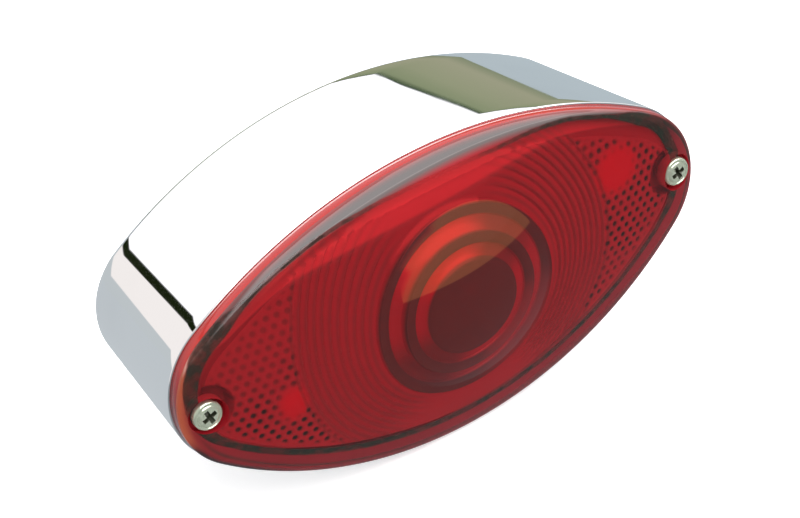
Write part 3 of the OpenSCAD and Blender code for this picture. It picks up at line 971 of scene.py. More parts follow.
def inner_level(x, z, rim, inset):
    """Level of the moulded inside at a point, with its rings, ribs, prisms and seat pads."""
    radius = np.hypot(x, z)
    level = crown_level(np.minimum(radius / rim, 1)) + cap_level(radius) - LENS_THICKNESS
    pattern = ring_radius(x, z)
    level = level - ring_relief(pattern)
    phase = ((pattern - RIB_START) / RIB_PITCH) % 1.0
    tooth = np.where(phase < RIB_SLOPE, phase / RIB_SLOPE, (1 - phase) / (1 - RIB_SLOPE))
    level = level - RIB_DEPTH * tooth * rib_mask(x, z)
    level = level - prism_height(x, z) * prism_mask(x, z, inset)
    away = np.hypot(np.abs(x) - SCREW_X + PAD_SHIFT, z)
    pad = 1 - smoothstep(away, PAD_RADIUS - 0.4, PAD_RADIUS + 0.4)
    return level + (np.minimum(level, PAD_LEVEL) - level) * pad


def lens_inner_radii():
    """Distances from the axis of the rings that shape the inside."""
    steps = list(np.linspace(1.5, RING_EDGES[0] - 1.5, 7))
    for edge in RING_EDGES:
        steps += [edge - RING_STEP, edge + RING_STEP]
    ribs = int((RIB_END - RIB_START) / RIB_PITCH)
    for i in range(ribs + 1):
        first = RIB_START + i * RIB_PITCH
        steps += [first + share * RIB_PITCH for share in (0.0, 0.35, RIB_SLOPE, 0.85)]
    steps = [s for s in steps if s < PRISM_START]
    steps += list(np.arange(PRISM_START, HALF_LENGTH, 0.34))
    return steps


def lens_inner_rings(angles):
    """Rings from the inner corner over the moulded inside to its middle."""
    a = np.radians(angles)
    rim = reach(angles, LENS_INSET)
    corner = reach(angles, INNER_CORNER)
    rings = []
    for r in reversed(lens_inner_radii()):
        radii = np.minimum(r, corner)
        share = ring_shift(radii)
        x = radii * np.cos(a) + RING_CENTRE[0] * share
        z = radii * np.sin(a) + RING_CENTRE[1] * share
        inset = INNER_CORNER + corner - radii
        rings.append(np.column_stack((x, z, inner_level(x, z, rim, inset))))
    return rings


def lens_object(skin, optics, edge):
    """Whole lens: outer skin, side, skirt and moulded inside, with the two screw seats."""
    angles = ray_angles(dense_step=0.3)
    outer = lens_outer_rings(angles)
    inner = lens_wall_rings(angles) + lens_inner_rings(angles)
    slots = [0] * (len(outer) - 3) + [2] * 3 + [1] * (len(inner) - 1)
    moulding = loft("lens_moulding", outer + inner, [skin, optics, edge], slots, sharp=50.0)
    seat = [(SCREW_HOLE, SKIRT_BOTTOM - 2), (SCREW_HOLE, SEAT_LEVEL), (SEAT_RADIUS, SEAT_LEVEL),
            (SEAT_RADIUS, SEAT_LEVEL + 9)]
    column = [(SCREW_HOLE, COLUMN_BASE), (COLUMN_RADIUS, COLUMN_BASE),
              (COLUMN_RADIUS, PAD_LEVEL + 0.5), (SCREW_HOLE, PAD_LEVEL + 0.5)]
    seats, columns = [], []
    for side in (-1, 1):
        centre = (side * SCREW_X, 0)
        seats.append(lathe("seat", seat, [optics], centre, 72))
        columns.append(lathe("column", column, [optics], centre, 48, closed=True))
    boolean(moulding, joined("seats", seats), "DIFFERENCE", 50.0)
    obj = joined("lens_red", [moulding] + columns, 50.0)
    mark_lens(obj.data)
    return obj


def pattern_marks(x, z, inset):
    """What the shader of the moulded inside needs: rings with their painted light and shade, ribs,
    prisms and plain patches.
    """
    turn = np.degrees(np.arctan2(z - RING_CENTRE[1], x - RING_CENTRE[0]))
    return {
        "ring": ring_radius(x, z),
        # Painted shade on the rings towards the lower left and upper right; painted light above and
        # towards the lower right
        "ring_dim": np.maximum(sector(turn, -135.0, 50.0), 0.8 * sector(turn, 45.0, 40.0)),
        "ring_bright": sector(turn, 108.0, 50.0),
        "ring_soft": sector(turn, -45.0, 50.0),
        "ribs": rib_mask(x, z),
        "prisms": prism_mask(x, z, inset),
        "prism_away": prism_away(x, z),
        "plain": plain_mask(x, z),
    }


def border_marks(x, z, inset):
    """What the shader of the skin needs: the wall seen through the border as painted shade, the
    painted light and shade of the border, and the painted sheen.
    """
    low = smoothstep(-z, 2.0, 12.0)
    tip = smoothstep(np.abs(x), 50.0, 61.0)
    upper = smoothstep(z, 4.0, 18.0)
    # Along the top the wall seems to sag in the middle and to rise towards the right
    sag = 2.65 * np.exp(-((x - 1.0) / 28.9) ** 2) - 1.55 * smoothstep(x, 14.0, 42.0)
    wall = inset_of(x + WALL_SHIFT[0], z + WALL_SHIFT[1]) - sag * smoothstep(z, 8.0, 18.0)
    # A second dark line of painted shade, towards the right end and along the lower edge
    second = np.maximum(smoothstep(x, 36.0, 46.0), 0.8 * low)
    away = np.abs(inset - np.where(z > 0, 1.55, 3.4))
    cap = 1 - smoothstep(np.hypot(x - CAP_CENTRE[0], z - CAP_CENTRE[1]), *CAP_EDGE)
    crown = smoothstep(np.hypot(x, z), BULLSEYE_RADIUS - 0.1, BULLSEYE_RADIUS + 0.2)
    inside_wall = smoothstep(wall - WALL_LINE, 0.2, 3.6)
    return {
        "wall": wall,
        "wall_half": 0.42 + 0.5 * low + 1.1 * tip * (1 - low),
        # The painted dark line fades in the middle of the top
        "line_share": 1 - 0.75 * upper * np.exp(-(x / 15.0) ** 2),
        "second_line": second * (1 - smoothstep(away, 0.15, 0.5)),
        # Painted shade over the upper border
        "upper": upper,
        # Where the painted shade above turns red, in the middle of the top
        "middle": upper * np.exp(-((x - 3.0) / 26.0) ** 2),
        # Rim of the border, for its painted highlight; weaker towards the left
        "rim": (1 - smoothstep(inset, -0.3, 1.5)) * (1 - 0.5 * smoothstep(-x, 30.0, 50.0)),
        # Painted reflection on the rim at the left end
        "left_end_reflection": (smoothstep(-x, 58.0, 67.0) * smoothstep(z, -11.0, -3.0)
                     * (1 - smoothstep(inset, 0.5, 2.8))),
        # Painted shade on the rim at the lower left end
        "low_end_shade": (smoothstep(-x, 50.0, 60.0) * smoothstep(-z, 5.0, 11.0)
                    * (1 - smoothstep(inset, 0.8, 2.2))),
        # Masks of the painted sheen
        "cap": cap,
        "sheen": np.maximum(cap, crown * (0.12 + 0.88 * inside_wall)),
    }


def mark_lens(mesh):
    """Stores what the lens shaders need as numbers at each point of the mesh."""
    co = np.zeros(len(mesh.vertices) * 3)
    mesh.vertices.foreach_get("co", co)
    x, _, z = co.reshape(-1, 3).T / MM
    inset = inset_of(x, z)
    for name, value in {**pattern_marks(x, z, inset), **border_marks(x, z, inset)}.items():
        layer = mesh.attributes.new(name, "FLOAT", "POINT")
        layer.data.foreach_set("value", value.astype(np.float32))


def sector(turn, middle, half):
    """One in the middle direction, falling to nothing at half degrees either side."""
    away = np.abs((turn - middle + 180.0) % 360.0 - 180.0)
    return 1 - smoothstep(away, 0.3 * half, half)


def inset_of(x, z):
    """Distance of each point inwards from the oval, from the arc it belongs to."""
    tip_x = HALF_LENGTH - TIP_RADIUS
    result = np.zeros(len(x))
    for rise, half in ((TOP_RISE, z >= 0), (BOTTOM_DROP, z < 0)):
        big = big_radius(rise)
        joint = math.atan2(big - rise, tip_x)
        az = np.abs(z)
        ax = np.abs(x)
        on_tip = np.arctan2(az, ax - tip_x) < joint
        tip = TIP_RADIUS - np.hypot(ax - tip_x, az)
        arc = big - np.hypot(ax, az - (rise - big))
        result = np.where(half, np.where(on_tip & (ax > tip_x), tip, arc), result)
    return result


# ---- Housing ----


def housing_rings(angles):
    """Rings from the middle of the back up the outside, over the lip and down the inside."""
    def ring(level, inset, scale=True):
        rings.append(oval_ring(angles, level, inset, taper(level) if scale else 1.0))

    rings = [oval_ring(angles, 0.0, BACK_ROUND + 14, BACK_SCALE)]
    for a in arc_steps(8):
        ring(BACK_ROUND * (1 - math.cos(a)), BACK_ROUND * (1 - math.sin(a)))
    for level in np.linspace(BACK_ROUND, DEPTH - LIP_ROUND, 14)[1:]:
        ring(level, 0.0)
    for a in arc_steps(6)[1:]:
        ring(DEPTH - LIP_ROUND * (1 - math.sin(a)), LIP_ROUND * (1 - math.cos(a)))
    for level, inset in ((DEPTH, RIM_LIP - 0.1), (DEPTH - 0.1, RIM_LIP),
                         (DEPTH - RIM_STEP, RIM_LIP), (DEPTH - RIM_STEP, WALL - 0.1),
                         (DEPTH - RIM_STEP - 0.1, WALL)):
        ring(level, inset, scale=False)
    for level in np.linspace(DEPTH - 4, WALL + FLOOR_FILLET, 8):
        ring(level, WALL)
    for a in arc_steps(6)[1:]:
        ring(WALL + FLOOR_FILLET * (1 - math.sin(a)), WALL + FLOOR_FILLET * (1 - math.cos(a)))
    ring(WALL, WALL + 16)
    return rings


def boss(centre, low, high, radius, mat):
    """Cast post with a rounded top edge and a small fillet at its foot."""
    profile = [(radius + 0.7, low - 0.4), (radius + 0.7, low), (radius + 0.2, low + 0.25),
               (radius, low + 0.8), (radius, high - 0.3), (radius - 0.3, high)]
    return lathe("boss", profile, [mat], centre, 48)


def hole(centre, low, high, radius, mat, count=48):
    return lathe("hole", [(radius, low), (radius, high)], [mat], centre, count)


def housing_object(chrome):
    """Deep shell with its posts for the screws, the plate and the studs, and its openings."""
    angles = ray_angles(dense_step=0.75, coarse_step=1.5)
    obj = loft("housing_chrome", housing_rings(angles), [chrome], sharp=35.0)
    screw_post = [(2.2, 24.5), (SCREW_POST_RADIUS, 28.0), (SCREW_POST_RADIUS, SCREW_POST_TOP - 0.3),
                  (SCREW_POST_RADIUS - 0.3, SCREW_POST_TOP)]
    posts, holes = [], []
    for side in (-1, 1):
        screw, pillar, stud = ((side * x, 0) for x in (SCREW_X, PILLAR_X, STUD_X))
        posts.append(lathe("boss", screw_post, [chrome], screw, 48))
        posts.append(boss(pillar, WALL, PILLAR_TOP, PILLAR_RADIUS, chrome))
        posts.append(boss(stud, WALL, STUD_POST_TOP, STUD_POST_RADIUS, chrome))
        holes.append(hole(screw, 30.0, 48.0, SCREW_THREAD / 2 + 0.04, chrome))
        holes.append(hole(pillar, 7.0, 18.0, PLATE_THREAD / 2 + 0.04, chrome))
        holes.append(hole(stud, -1.0, 8.4, STUD_ROOT_RADIUS + 0.04, chrome))
    boolean(obj, joined("posts", posts), "UNION", 35.0)
    recess, recess_level = OUTLET_RECESS
    outlet = [(recess, -1.0), (recess, recess_level), (OUTLET_RADIUS, recess_level),
              (OUTLET_RADIUS, 4.0)]
    holes.append(lathe("outlet", outlet, [chrome], count=64))
    holes.append(block("window", *WINDOW, chrome))
    return boolean(obj, joined("holes", holes), "DIFFERENCE", 35.0)


# ---- Screws and washers ----


def phillips_cutter(centre, top, size, depth, mat):
    """Cross-shaped recess whose wings taper towards its bottom."""
    parts = []
    for turn in (0.0, 90.0):
        rings = []
        for level, half, wide in ((top - depth, 0.28 * size, 0.11 * size),
                                  (top - 0.35 * depth, 0.48 * size, 0.15 * size),
                                  (top + 1.0, 0.66 * size, 0.2 * size)):
            corners = [(-half, -wide), (half, -wide), (half, wide), (-half, wide)]
            c, s = math.cos(math.radians(turn + 20)), math.sin(math.radians(turn + 20))
            rings.append(np.array([(centre[0] + c * u - s * v, centre[1] + s * u + c * v, level)
                                   for u, v in corners]))
        parts.append(loft("wing", rings, [mat]))
    return parts


def pan_head_profile(radius, level, height):
    """Pan head: rolled lower edge, a rolled rim, a shallow groove and a gently domed top."""
    profile = [(radius - 0.25, level), (radius, level + 0.2), (radius, level + 0.42 * height)]
    for a in arc_steps(6)[1:]:
        profile.append((radius * (0.84 + 0.16 * math.cos(a)),
                        level + height * (0.42 + 0.36 * math.sin(a))))
    profile.append((radius * 0.79, level + height * 0.72))
    profile.append((radius * 0.74, level + height * 0.74))
    profile.append((radius * 0.68, level + height * 0.84))
    profile.append((radius * 0.56, level + height * 0.91))
    profile.append((radius * 0.3, level + height * 0.97))
    profile.append((0.05, level + height))
    return profile


def screw_object(name, centre, level, head_r, head_h, shank_d, pitch, tip, mat, recess):
    head = lathe("head", pan_head_profile(head_r, level, head_h), [mat], centre, 72, 40.0)
    for wing in phillips_cutter(centre, level + head_h, head_r * 0.95, head_h * 0.72, recess):
        boolean(head, wing, "DIFFERENCE", 40.0)
    shank = threaded_rod("shank", centre, tip, level + 0.4, shank_d, pitch, mat)
    return joined(name, [head, shank])


def washer_object(name, centre, mat, soft=0.15):
    """Thin sealing washer with rounded edges, just above the seat."""
    outer, inner, low, high = WASHER
    low, high = SEAT_LEVEL + low, SEAT_LEVEL + high
    profile = [(inner + soft, low), (outer - soft, low), (outer, low + soft), (outer, high - soft),
               (outer - soft, high), (inner + soft, high), (inner, high - soft), (inner, low + soft)]
    return lathe(name, profile, [mat], centre, 64, closed=True)


# ---- Bulb plate, spring, studs and wires ----


def reflector_object(mat):
    """Pressed plate with a turned-up flange, a rolled lip and an embossed ring round the socket."""
    angles = ray_angles(dense_step=1.0, coarse_step=1.5)
    inset, bend = WALL + PLATE_INSET, PLATE_BEND
    low, top, t = PLATE_LEVEL, PLATE_LEVEL + FLANGE_HEIGHT, PLATE_T
    upper, lower = [], []
    for radius, rise in ((SOCKET_HOLE, 0.0), *PLATE_BEAD):
        flat = np.full(len(angles), radius)
        upper.append(polar_ring(angles, flat, low + t + rise))
        lower.append(polar_ring(angles, flat, low + rise))
    outer_flat = reach(angles, inset + bend) * taper(low)
    for share in (0.3, 0.65, 1.0):
        upper.append(polar_ring(angles, flat + (outer_flat - t - flat) * share, low + t))
        lower.append(polar_ring(angles, flat + (outer_flat - flat) * share, low))
    for a in arc_steps(5)[1:]:
        up, left = 1 - np.cos(a), 1 - np.sin(a)
        upper.append(oval_ring(angles, low + t + (bend - t) * up,
                               inset + t + (bend - t) * left, taper(low)))
        lower.append(oval_ring(angles, low + bend * up, inset + bend * left, taper(low)))
    for level in np.linspace(low + bend + 0.6, top - 0.3, 3):
        upper.append(oval_ring(angles, level, inset + t, taper(level)))
        lower.append(oval_ring(angles, level, inset, taper(level)))
    upper.append(oval_ring(angles, top, inset + t - 0.25, taper(top)))
    lower.append(oval_ring(angles, top, inset + 0.25, taper(top)))
    rings = upper + lower[::-1]
    points = np.concatenate(rings + [rings[0]])
    faces = strip_faces(len(rings) + 1, len(angles))
    obj = make_object("reflector_plate", place_all(points), faces, [mat], sharp=35.0)
    cuts = []
    for side in (-1, 1):
        cuts.append(hole((side * SCREW_X, 0), 10.0, 40.0, SCREW_POST_RADIUS + 0.5, mat))
        cuts.append(hole((side * PILLAR_X, 0), 10.0, 40.0, PLATE_THREAD / 2 + 0.2, mat))
        cuts.append(hole((0, side * RIVET_Z), 10.0, 40.0, 1.24, mat))
    return boolean(obj, joined("plate_holes", cuts), "DIFFERENCE", 35.0)


def polar_ring(angles, radii, level):
    a = np.radians(angles)
    return np.column_stack((radii * np.cos(a), radii * np.sin(a), np.full(len(a), level)))


def coil_path(radius, low, high, turns, steps=36, lead=0.75):
    """Helix round the lamp's axis whose first and last parts of a turn lie flat."""
    total = int(turns * steps)
    path = []
    for i in range(total + 1):
        turn = turns * i / total
        share = min(max((turn - lead) / (turns - 2 * lead), 0.0), 1.0)
        a = 2 * math.pi * turn
        path.append((radius * math.cos(a), radius * math.sin(a), low + (high - low) * share))
    return path


def stud_object(name, x, mat):
    """Threaded stud with a plain root that sits in the housing's boss."""
    thread = threaded_rod("thread", (x, 0.0), -STUD_LENGTH, -STUD_ROOT_PROUD,
                          STUD_THREAD, 1.0, mat)
    r, low, high, soft = STUD_ROOT_RADIUS, -STUD_ROOT_PROUD, 8.3, 0.2
    root = lathe("root", [(r - soft, low), (r, low + 0.1), (r, high - soft), (r - soft, high)],
                 [mat], (x, 0.0), 48)
    return joined(name, [thread, root])


def wire_places():
    """Where the wires pass through the grommet, as (x, z)."""
    return [(d * math.cos(math.radians(a)), d * math.sin(math.radians(a)))
            for a, d in WIRE_HOLES]


def wire_end(x, z):
    """Where a wire that starts at (x, z) ends."""
    return x * (1 + WIRE_SPREAD[0]), z * (1 + WIRE_SPREAD[1]) - WIRE_SAG


def wire_path(x, z, front):
    """Wire that leaves straight back through the grommet and sags at its end."""
    straight, steps = -2.0, 44
    path = [(x, z, front), (x, z, 0.5 * front), (x, z, straight)]
    for i in range(1, steps + 1):
        s = i / steps
        path.append((x * (1 + WIRE_SPREAD[0] * s), z * (1 + WIRE_SPREAD[1] * s) - WIRE_SAG * s * s,
                     straight - (WIRE_LENGTH + straight) * s))
    end = path[-1]
    path.append((end[0], end[1], end[2] - 0.6))
    return path


def terminal_object(name, x, z, mat):
    """Bullet terminal: a crimped barrel round the end of the wire, a neck and a bullet."""
    end = -WIRE_LENGTH - 0.65
    profile = [(0.05, end - 10.8), (0.9, end - 10.5), (1.5, end - 9.9), (1.7, end - 9.1),
               (1.55, end - 8.2), (1.1, end - 7.6), (1.1, end - 7.1), (1.5, end - 6.9),
               (1.6, end - 6.6), (1.6, end - 4.6), (1.38, end - 4.2), (1.38, end - 3.4),
               (1.6, end - 3.0), (1.6, end - 1.9), (1.38, end - 1.5), (1.38, end - 0.7),
               (1.6, end - 0.3), (1.62, end + 0.5), (1.5, end + 0.62), (1.02, end + 0.62),
               (0.98, end + 0.4), (0.98, end - 0.02), (0.05, end - 0.04)]
    return lathe(name, profile, [mat], (x, z), 36, 40.0)


def grommet_object(mat, places):
    """Rubber grommet: a head in the outlet's recess, a waist in the hole and an inner lip."""
    profile = [(0.05, 0.1), (8.2, 0.1), (8.5, 0.25), (8.6, 0.5), (8.6, 1.0), (8.4, 1.22),
               (OUTLET_RADIUS - 0.05, 1.24), (OUTLET_RADIUS - 0.05, WALL + 0.06),
               (7.3, WALL + 0.08), (7.6, WALL + 0.3), (7.4, WALL + 0.7), (6.9, WALL + 0.85),
               (0.05, WALL + 0.85)]
    obj = lathe("wire_grommet_moulding", profile, [mat], count=72)
    cuts = [hole(p, -2.0, 6.0, 0.95, mat, 24) for p in places]
    return boolean(obj, joined("wire_holes", cuts), "DIFFERENCE", 35.0)


# ---- Camera, floor and studio ----

# Camera: direction and roll in degrees, distance and shift in metres, lens and sensor in mm
VIEW_AZIMUTH = -27.486
VIEW_ELEVATION = 33.293
VIEW_ROLL = -11.058
VIEW_DISTANCE = 0.536566
VIEW_SHIFT = (-0.009696, 0.004649)
FOCAL = 100.9
SENSOR = 36.0

# Studio: elevations in degrees; a tilt or slant is per degree of azimuth
WALL_FOOT = -3.0
BOX_FOOT = 26.7
BOX_TILT = -0.345
BOX_FOOT_MOST = 15.8
GAP_SLANT = (0.690, 0.724)
GAP_PLACE = 4.78
CARD_TILT = 0.637
CARD_FOOT = 25.84
KEY_FOOT = 26.0
KEY_TOP = 75.0


def add_camera():
    """Camera turned about the middle of the lens, rolled and shifted in its own plane."""
    a, e, r = (math.radians(v) for v in (VIEW_AZIMUTH, VIEW_ELEVATION, VIEW_ROLL))
    back = Vector((math.sin(a) * math.cos(e), -math.cos(a) * math.cos(e), math.sin(e)))
    level_right = Vector((math.cos(a), math.sin(a), 0))
    level_up = back.cross(level_right)
    right = level_right * math.cos(r) + level_up * math.sin(r)
    up = level_up * math.cos(r) - level_right * math.sin(r)
    data = bpy.data.cameras.new("camera")
    data.lens = FOCAL
    data.sensor_width = SENSOR
    data.clip_start = 0.01
    cam = linked("camera", data)
    centre = place(0, 0, DEPTH)
    cam.location = centre + right * VIEW_SHIFT[0] + up * VIEW_SHIFT[1] + back * VIEW_DISTANCE
    cam.rotation_mode = "QUATERNION"
    turn = Matrix((right, up, back)).transposed()
    cam.rotation_quaternion = turn.to_quaternion()
    bpy.context.scene.camera = cam


def floor_finish():
    """White table to the eye and a cool grey one in reflections."""
    mat, g = material("floor_white")
    path = g.node("LightPath").outputs
    grain = g.noise(40.0, 2.0, 0.5)
    white = g.mix(grain, (0.93, 0.93, 0.93), (0.96, 0.96, 0.96))
    matte = g.node("BsdfDiffuse", {"Color": white}).outputs[0]
    lit = g.emission((1, 1, 1), 0.45)
    seen = g.add_shader(matte, lit)
    spot = g.node("SeparateXYZ", {0: g.coords()}).outputs
    tone = g.mix(g.smooth(spot[0], -0.1, 0.1), (0.54, 0.58, 0.61), (0.46, 0.53, 0.57))
    cool = g.emission(tone, g.smooth(spot[1], -0.05, 0.0, 0.42, 1.0))
    g.output(g.mix_shader(path["Is Glossy Ray"], seen, cool))
    return mat


def add_floor():
    """Table just under the lamp."""
    half = 3.0
    level = -(BOTTOM_DROP + 0.3) * MM
    mesh = bpy.data.meshes.new("floor")
    mesh.from_pydata([(-half, -half, level), (half, -half, level), (half, half, level),
                      (-half, half, level)], [], [(0, 1, 2, 3)])
    mesh.materials.append(floor_finish())
    linked("floor", mesh)


def soft_box_and_wall(g, direction, azimuth, height):
    """Behind the lamp: a dim olive wall under a big white soft box."""
    wave = g.mul(g.minus(g.noise(14.0, 2.0, 0.5, direction), 0.5), 1.4)
    box_foot = g.plus(g.mul(azimuth, BOX_TILT), BOX_FOOT)
    box_foot = g.plus(g.math("MINIMUM", box_foot, BOX_FOOT_MOST), wave)
    wall_share = g.math("DIVIDE", g.minus(height, WALL_FOOT), g.minus(box_foot, WALL_FOOT),
                        clamp=True)
    wall = g.ramp(wall_share, [
        (0.0, (0.05, 0.09, 0.05)), (0.07, (0.20, 0.24, 0.15)), (0.35, (0.35, 0.35, 0.24)),
        (0.75, (0.31, 0.33, 0.21)), (0.95, (0.25, 0.29, 0.17)), (1.0, (0.02, 0.05, 0.02))])
    return g.mix(g.smooth(g.minus(height, box_foot), 0.0, 0.3), wall, (1.25, 1.23, 1.27))


def with_card(g, behind, azimuth, height):
    """Left of the soft box: a black gap, then a warm card that stands on the table."""
    across = g.plus(g.mul(azimuth, GAP_SLANT[0]), g.mul(height, GAP_SLANT[1]))
    across = g.minus(across, GAP_PLACE)
    above = g.minus(height, g.plus(g.mul(azimuth, CARD_TILT), CARD_FOOT))
    card = g.mix(g.smooth(above, -0.4, 0.4), (0.54, 0.58, 0.60), (0.95, 0.90, 0.88))
    behind = g.mix(g.smooth(across, -0.9, -0.6, 1.0, 0.0), behind, card)
    return g.mix(g.band(across, -0.75, 0.75, 0.15), behind, (0.01, 0.015, 0.005))


def room_ahead(g, axis, height):
    """In front of the lamp: a dim room with a key light overhead."""
    key = g.mul(g.band(height, KEY_FOOT, KEY_TOP, 1.0), g.band(axis[0], -0.3, 0.85, 0.08))
    room = g.mix(g.smooth(height, -5.0, 60.0), (0.30, 0.30, 0.31), (0.55, 0.55, 0.56))
    return g.mix(key, room, (4.6, 4.5, 4.5))


def add_studio():
    """Light from all round, white to the camera."""
    world = bpy.data.worlds.new("studio")
    bpy.context.scene.world = world
    world.use_nodes = True
    g = Graph(world.node_tree)
    direction = g.node("TexCoord").outputs["Generated"]
    axis = g.node("SeparateXYZ", {0: direction}).outputs
    to_degrees = 180 / math.pi
    azimuth = g.mul(g.math("ARCTAN2", axis[0], axis[1]), to_degrees)
    height = g.mul(g.math("ARCSINE", axis[2]), to_degrees)
    behind = soft_box_and_wall(g, direction, azimuth, height)
    behind = with_card(g, behind, azimuth, height)
    front = g.smooth(g.mul(axis[1], -1.0), -0.02, 0.02)
    colour = g.mix(front, behind, room_ahead(g, axis, height))
    seen = g.node("LightPath").outputs["Is Camera Ray"]
    colour = g.mix(seen, colour, (1, 1, 1))
    shade = g.node("Background", {"Color": colour, "Strength": 1.0}).outputs[0]
    g.output(shade, "OutputWorld")


# ---- Put together ----

PLAIN_FINISHES = {
    "nickel_plate": dict(colour=(0.52, 0.58, 0.45), worn=(0.80, 0.84, 0.72), metallic=0.7,
                         roughness=0.14, spread=0.1),
    # Painted shade: near black for the cross recesses of the screws
    "recess_shade": dict(colour=(0.035, 0.040, 0.022), worn=(0.3, 0.3, 0.25), metallic=0.4,
                          roughness=0.5),
    "black_rubber": dict(colour=(0.02, 0.02, 0.02), worn=(0.05, 0.05, 0.05), roughness=0.6,
                         grain=1500.0, relief=0.00005),
    "black_glass": dict(colour=(0.012, 0.012, 0.018), worn=(0.05, 0.05, 0.06), roughness=0.1,
                        spread=0.1, coat=0.6),
    "solder": dict(colour=(0.50, 0.51, 0.53), worn=(0.68, 0.68, 0.68), metallic=1.0,
                   roughness=0.42, spread=0.25, blotch=600.0, relief=0.00006),
}

# Bare metals: colour, colour where worn, roughness, spread, grain, blotch
METALS = {
    "zinc_plate": ((0.62, 0.65, 0.68), (0.78, 0.78, 0.76), 0.3, 0.2, 900.0, 220.0),
    "pressed_metal": ((0.82, 0.82, 0.80), (0.9, 0.9, 0.88), 0.22, 0.16, 1600.0, 45.0),
    "drawn_steel": ((0.55, 0.57, 0.60), (0.72, 0.72, 0.72), 0.34, 0.2, 2200.0, 60.0),
    "spring_steel": ((0.42, 0.43, 0.45), (0.6, 0.6, 0.6), 0.26, 0.16, 3000.0, 60.0),
    "bright_brass": ((0.72, 0.50, 0.20), (0.88, 0.70, 0.40), 0.24, 0.18, 900.0, 260.0),
    "cap_brass": ((0.66, 0.55, 0.36), (0.8, 0.7, 0.5), 0.28, 0.2, 900.0, 180.0),
    "tungsten": ((0.16, 0.16, 0.18), (0.3, 0.3, 0.3), 0.4, 0.15, 5000.0, 60.0),
    "lead_in_wire": ((0.52, 0.49, 0.44), (0.7, 0.68, 0.62), 0.3, 0.15, 4000.0, 60.0),
}

# Insulation of the wires: colour, colour where worn
INSULATION = {
    "brown": ((0.085, 0.035, 0.016), (0.16, 0.08, 0.04)),
    "red": ((0.36, 0.012, 0.010), (0.5, 0.06, 0.05)),
    "black": ((0.014, 0.014, 0.014), (0.05, 0.05, 0.05)),
}

# CAD nodes that keep their own shape, by finish
CARRIED_OVER = {
    "foam_rubber": ("lens_gasket", "window_gasket"),
    "drawn_steel": ("bulb_socket",),
    "zinc_plate": ("socket_rivets",),
    "phenolic_board": ("contact_carrier",),
    "bright_brass": ("contact_buttons",),
    "cap_brass": ("bulb_cap", "bulb_pins"),
    "black_glass": ("bulb_insulator",),
    "solder": ("bulb_tips",),
    "bulb_glass": ("bulb_glass", "bulb_stem"),
    "lead_in_wire": ("filament_supports",),
    "tungsten": ("filament_tail", "filament_brake"),
    "clear_acrylic": ("plate_window",),
}


def all_finishes():
    """Every finish by name."""
    made = {name: finish(name, **settings) for name, settings in PLAIN_FINISHES.items()}
    for name, (colour, worn, roughness, spread, grain, blotch) in METALS.items():
        made[name] = finish(name, colour, worn, metallic=1.0, roughness=roughness,
                            spread=spread, grain=grain, blotch=blotch)
    for word, (colour, worn) in INSULATION.items():
        name = f"{word}_insulation"
        made[name] = finish(name, colour, worn, roughness=0.38, grain=1200.0, coat=0.3)
    for name, make, *settings in (
        ("chrome_plate", chrome_finish),
        ("lens_skin", lens_skin_finish),
        ("lens_optics", lens_optics_finish),
        ("lens_edge", lens_edge_finish),
        ("foam_rubber", foam_finish, (0.035, 0.035, 0.035)),
        ("phenolic_board", layered_finish, (0.13, 0.055, 0.022), (0.22, 0.10, 0.045)),
        ("bulb_glass", clear_finish, (0.98, 0.99, 0.99)),
        ("clear_acrylic", clear_finish, (0.95, 0.96, 0.96), 0.06),
    ):
        made[name] = make(name, *settings)
    return made


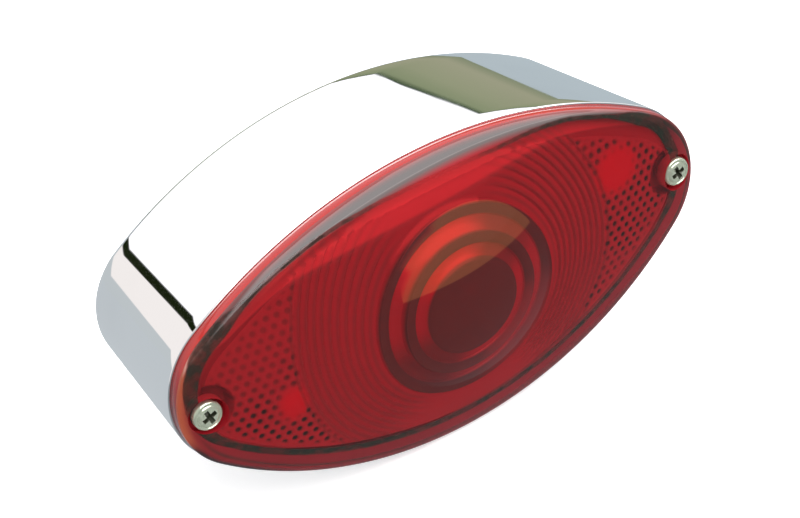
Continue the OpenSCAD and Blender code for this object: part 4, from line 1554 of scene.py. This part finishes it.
def add_lens_fasteners(finishes):
    """The two screws that hold the lens, and their washers."""
    for side, word in ((-1, "left"), (1, "right")):
        centre = (side * SCREW_X, 0.0)
        screw = screw_object(f"screw_{word}", centre, HEAD_LEVEL, HEAD_RADIUS, HEAD_HEIGHT,
                             SCREW_THREAD, THREAD_PITCH, SCREW_TIP,
                             finishes["nickel_plate"], finishes["recess_shade"])
        stands_for(screw, f"lens_screw_{word}", f"{word}_screw_body")
        washer = washer_object(f"washer_{word}", centre, finishes["black_rubber"])
        stands_for(washer, f"screw_washer_{word}", f"{word}_washer_body")


def add_plate_parts(finishes):
    """Bulb plate, its two screws and the spring behind the bulb, drawn as one fixed coil where the
    bulb presses on it.
    """
    stands_for(reflector_object(finishes["pressed_metal"]), "reflector", "root")
    screws = [
        screw_object(f"plate_screw_{side}", (side * PILLAR_X, 0.0), PLATE_LEVEL + PLATE_T + 0.05,
                     2.8, 1.9, PLATE_THREAD, 0.5, 8.0, finishes["zinc_plate"],
                     finishes["recess_shade"])
        for side in (-1, 1)
    ]
    stands_for(joined("plate_screws", screws), "reflector_screws", "root")

    path = coil_path(SPRING_RADIUS, SPRING_LOW, SPRING_HIGH, 4.0)
    spring = tube("contact_spring_coil", path, SPRING_WIRE, finishes["spring_steel"], 14)
    stands_for(spring, "contact_spring", "root")
    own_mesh(spring)


def add_back_parts(finishes):
    """Studs, grommet, wires and their terminals."""
    zinc = finishes["zinc_plate"]
    studs = [stud_object(f"stud_{side}", side * STUD_X, zinc) for side in (-1, 1)]
    stands_for(joined("studs_threaded", studs), "mounting_studs", "root")
    places = wire_places()
    stands_for(grommet_object(finishes["black_rubber"], places), "wire_grommet",
               "root")
    terminals = []
    for (x, z), (word, colour, front) in zip(places, WIRES):
        wire = tube(f"wire_{word}_insulated", wire_path(x, z, front), WIRE_RADIUS,
                    finishes[f"{colour}_insulation"], 20)
        stands_for(wire, f"wire_{word}", "root")
        x, z = wire_end(x, z)
        terminals.append(terminal_object(f"terminal_{word}", x, z, finishes["bright_brass"]))
    stands_for(joined("terminals_crimped", terminals), "bullet_terminals",
               "root")


finishes = all_finishes()
stands_for(housing_object(finishes["chrome_plate"]), "housing", "root")
lens = lens_object(finishes["lens_skin"], finishes["lens_optics"], finishes["lens_edge"])
stands_for(lens, "lens", "lens_body")
add_lens_fasteners(finishes)
add_plate_parts(finishes)
add_back_parts(finishes)
for name, nodes in CARRIED_OVER.items():
    dress(finishes[name], *nodes)

add_camera()
add_floor()
add_studio()
bpy.context.scene.view_settings.view_transform = "Standard"
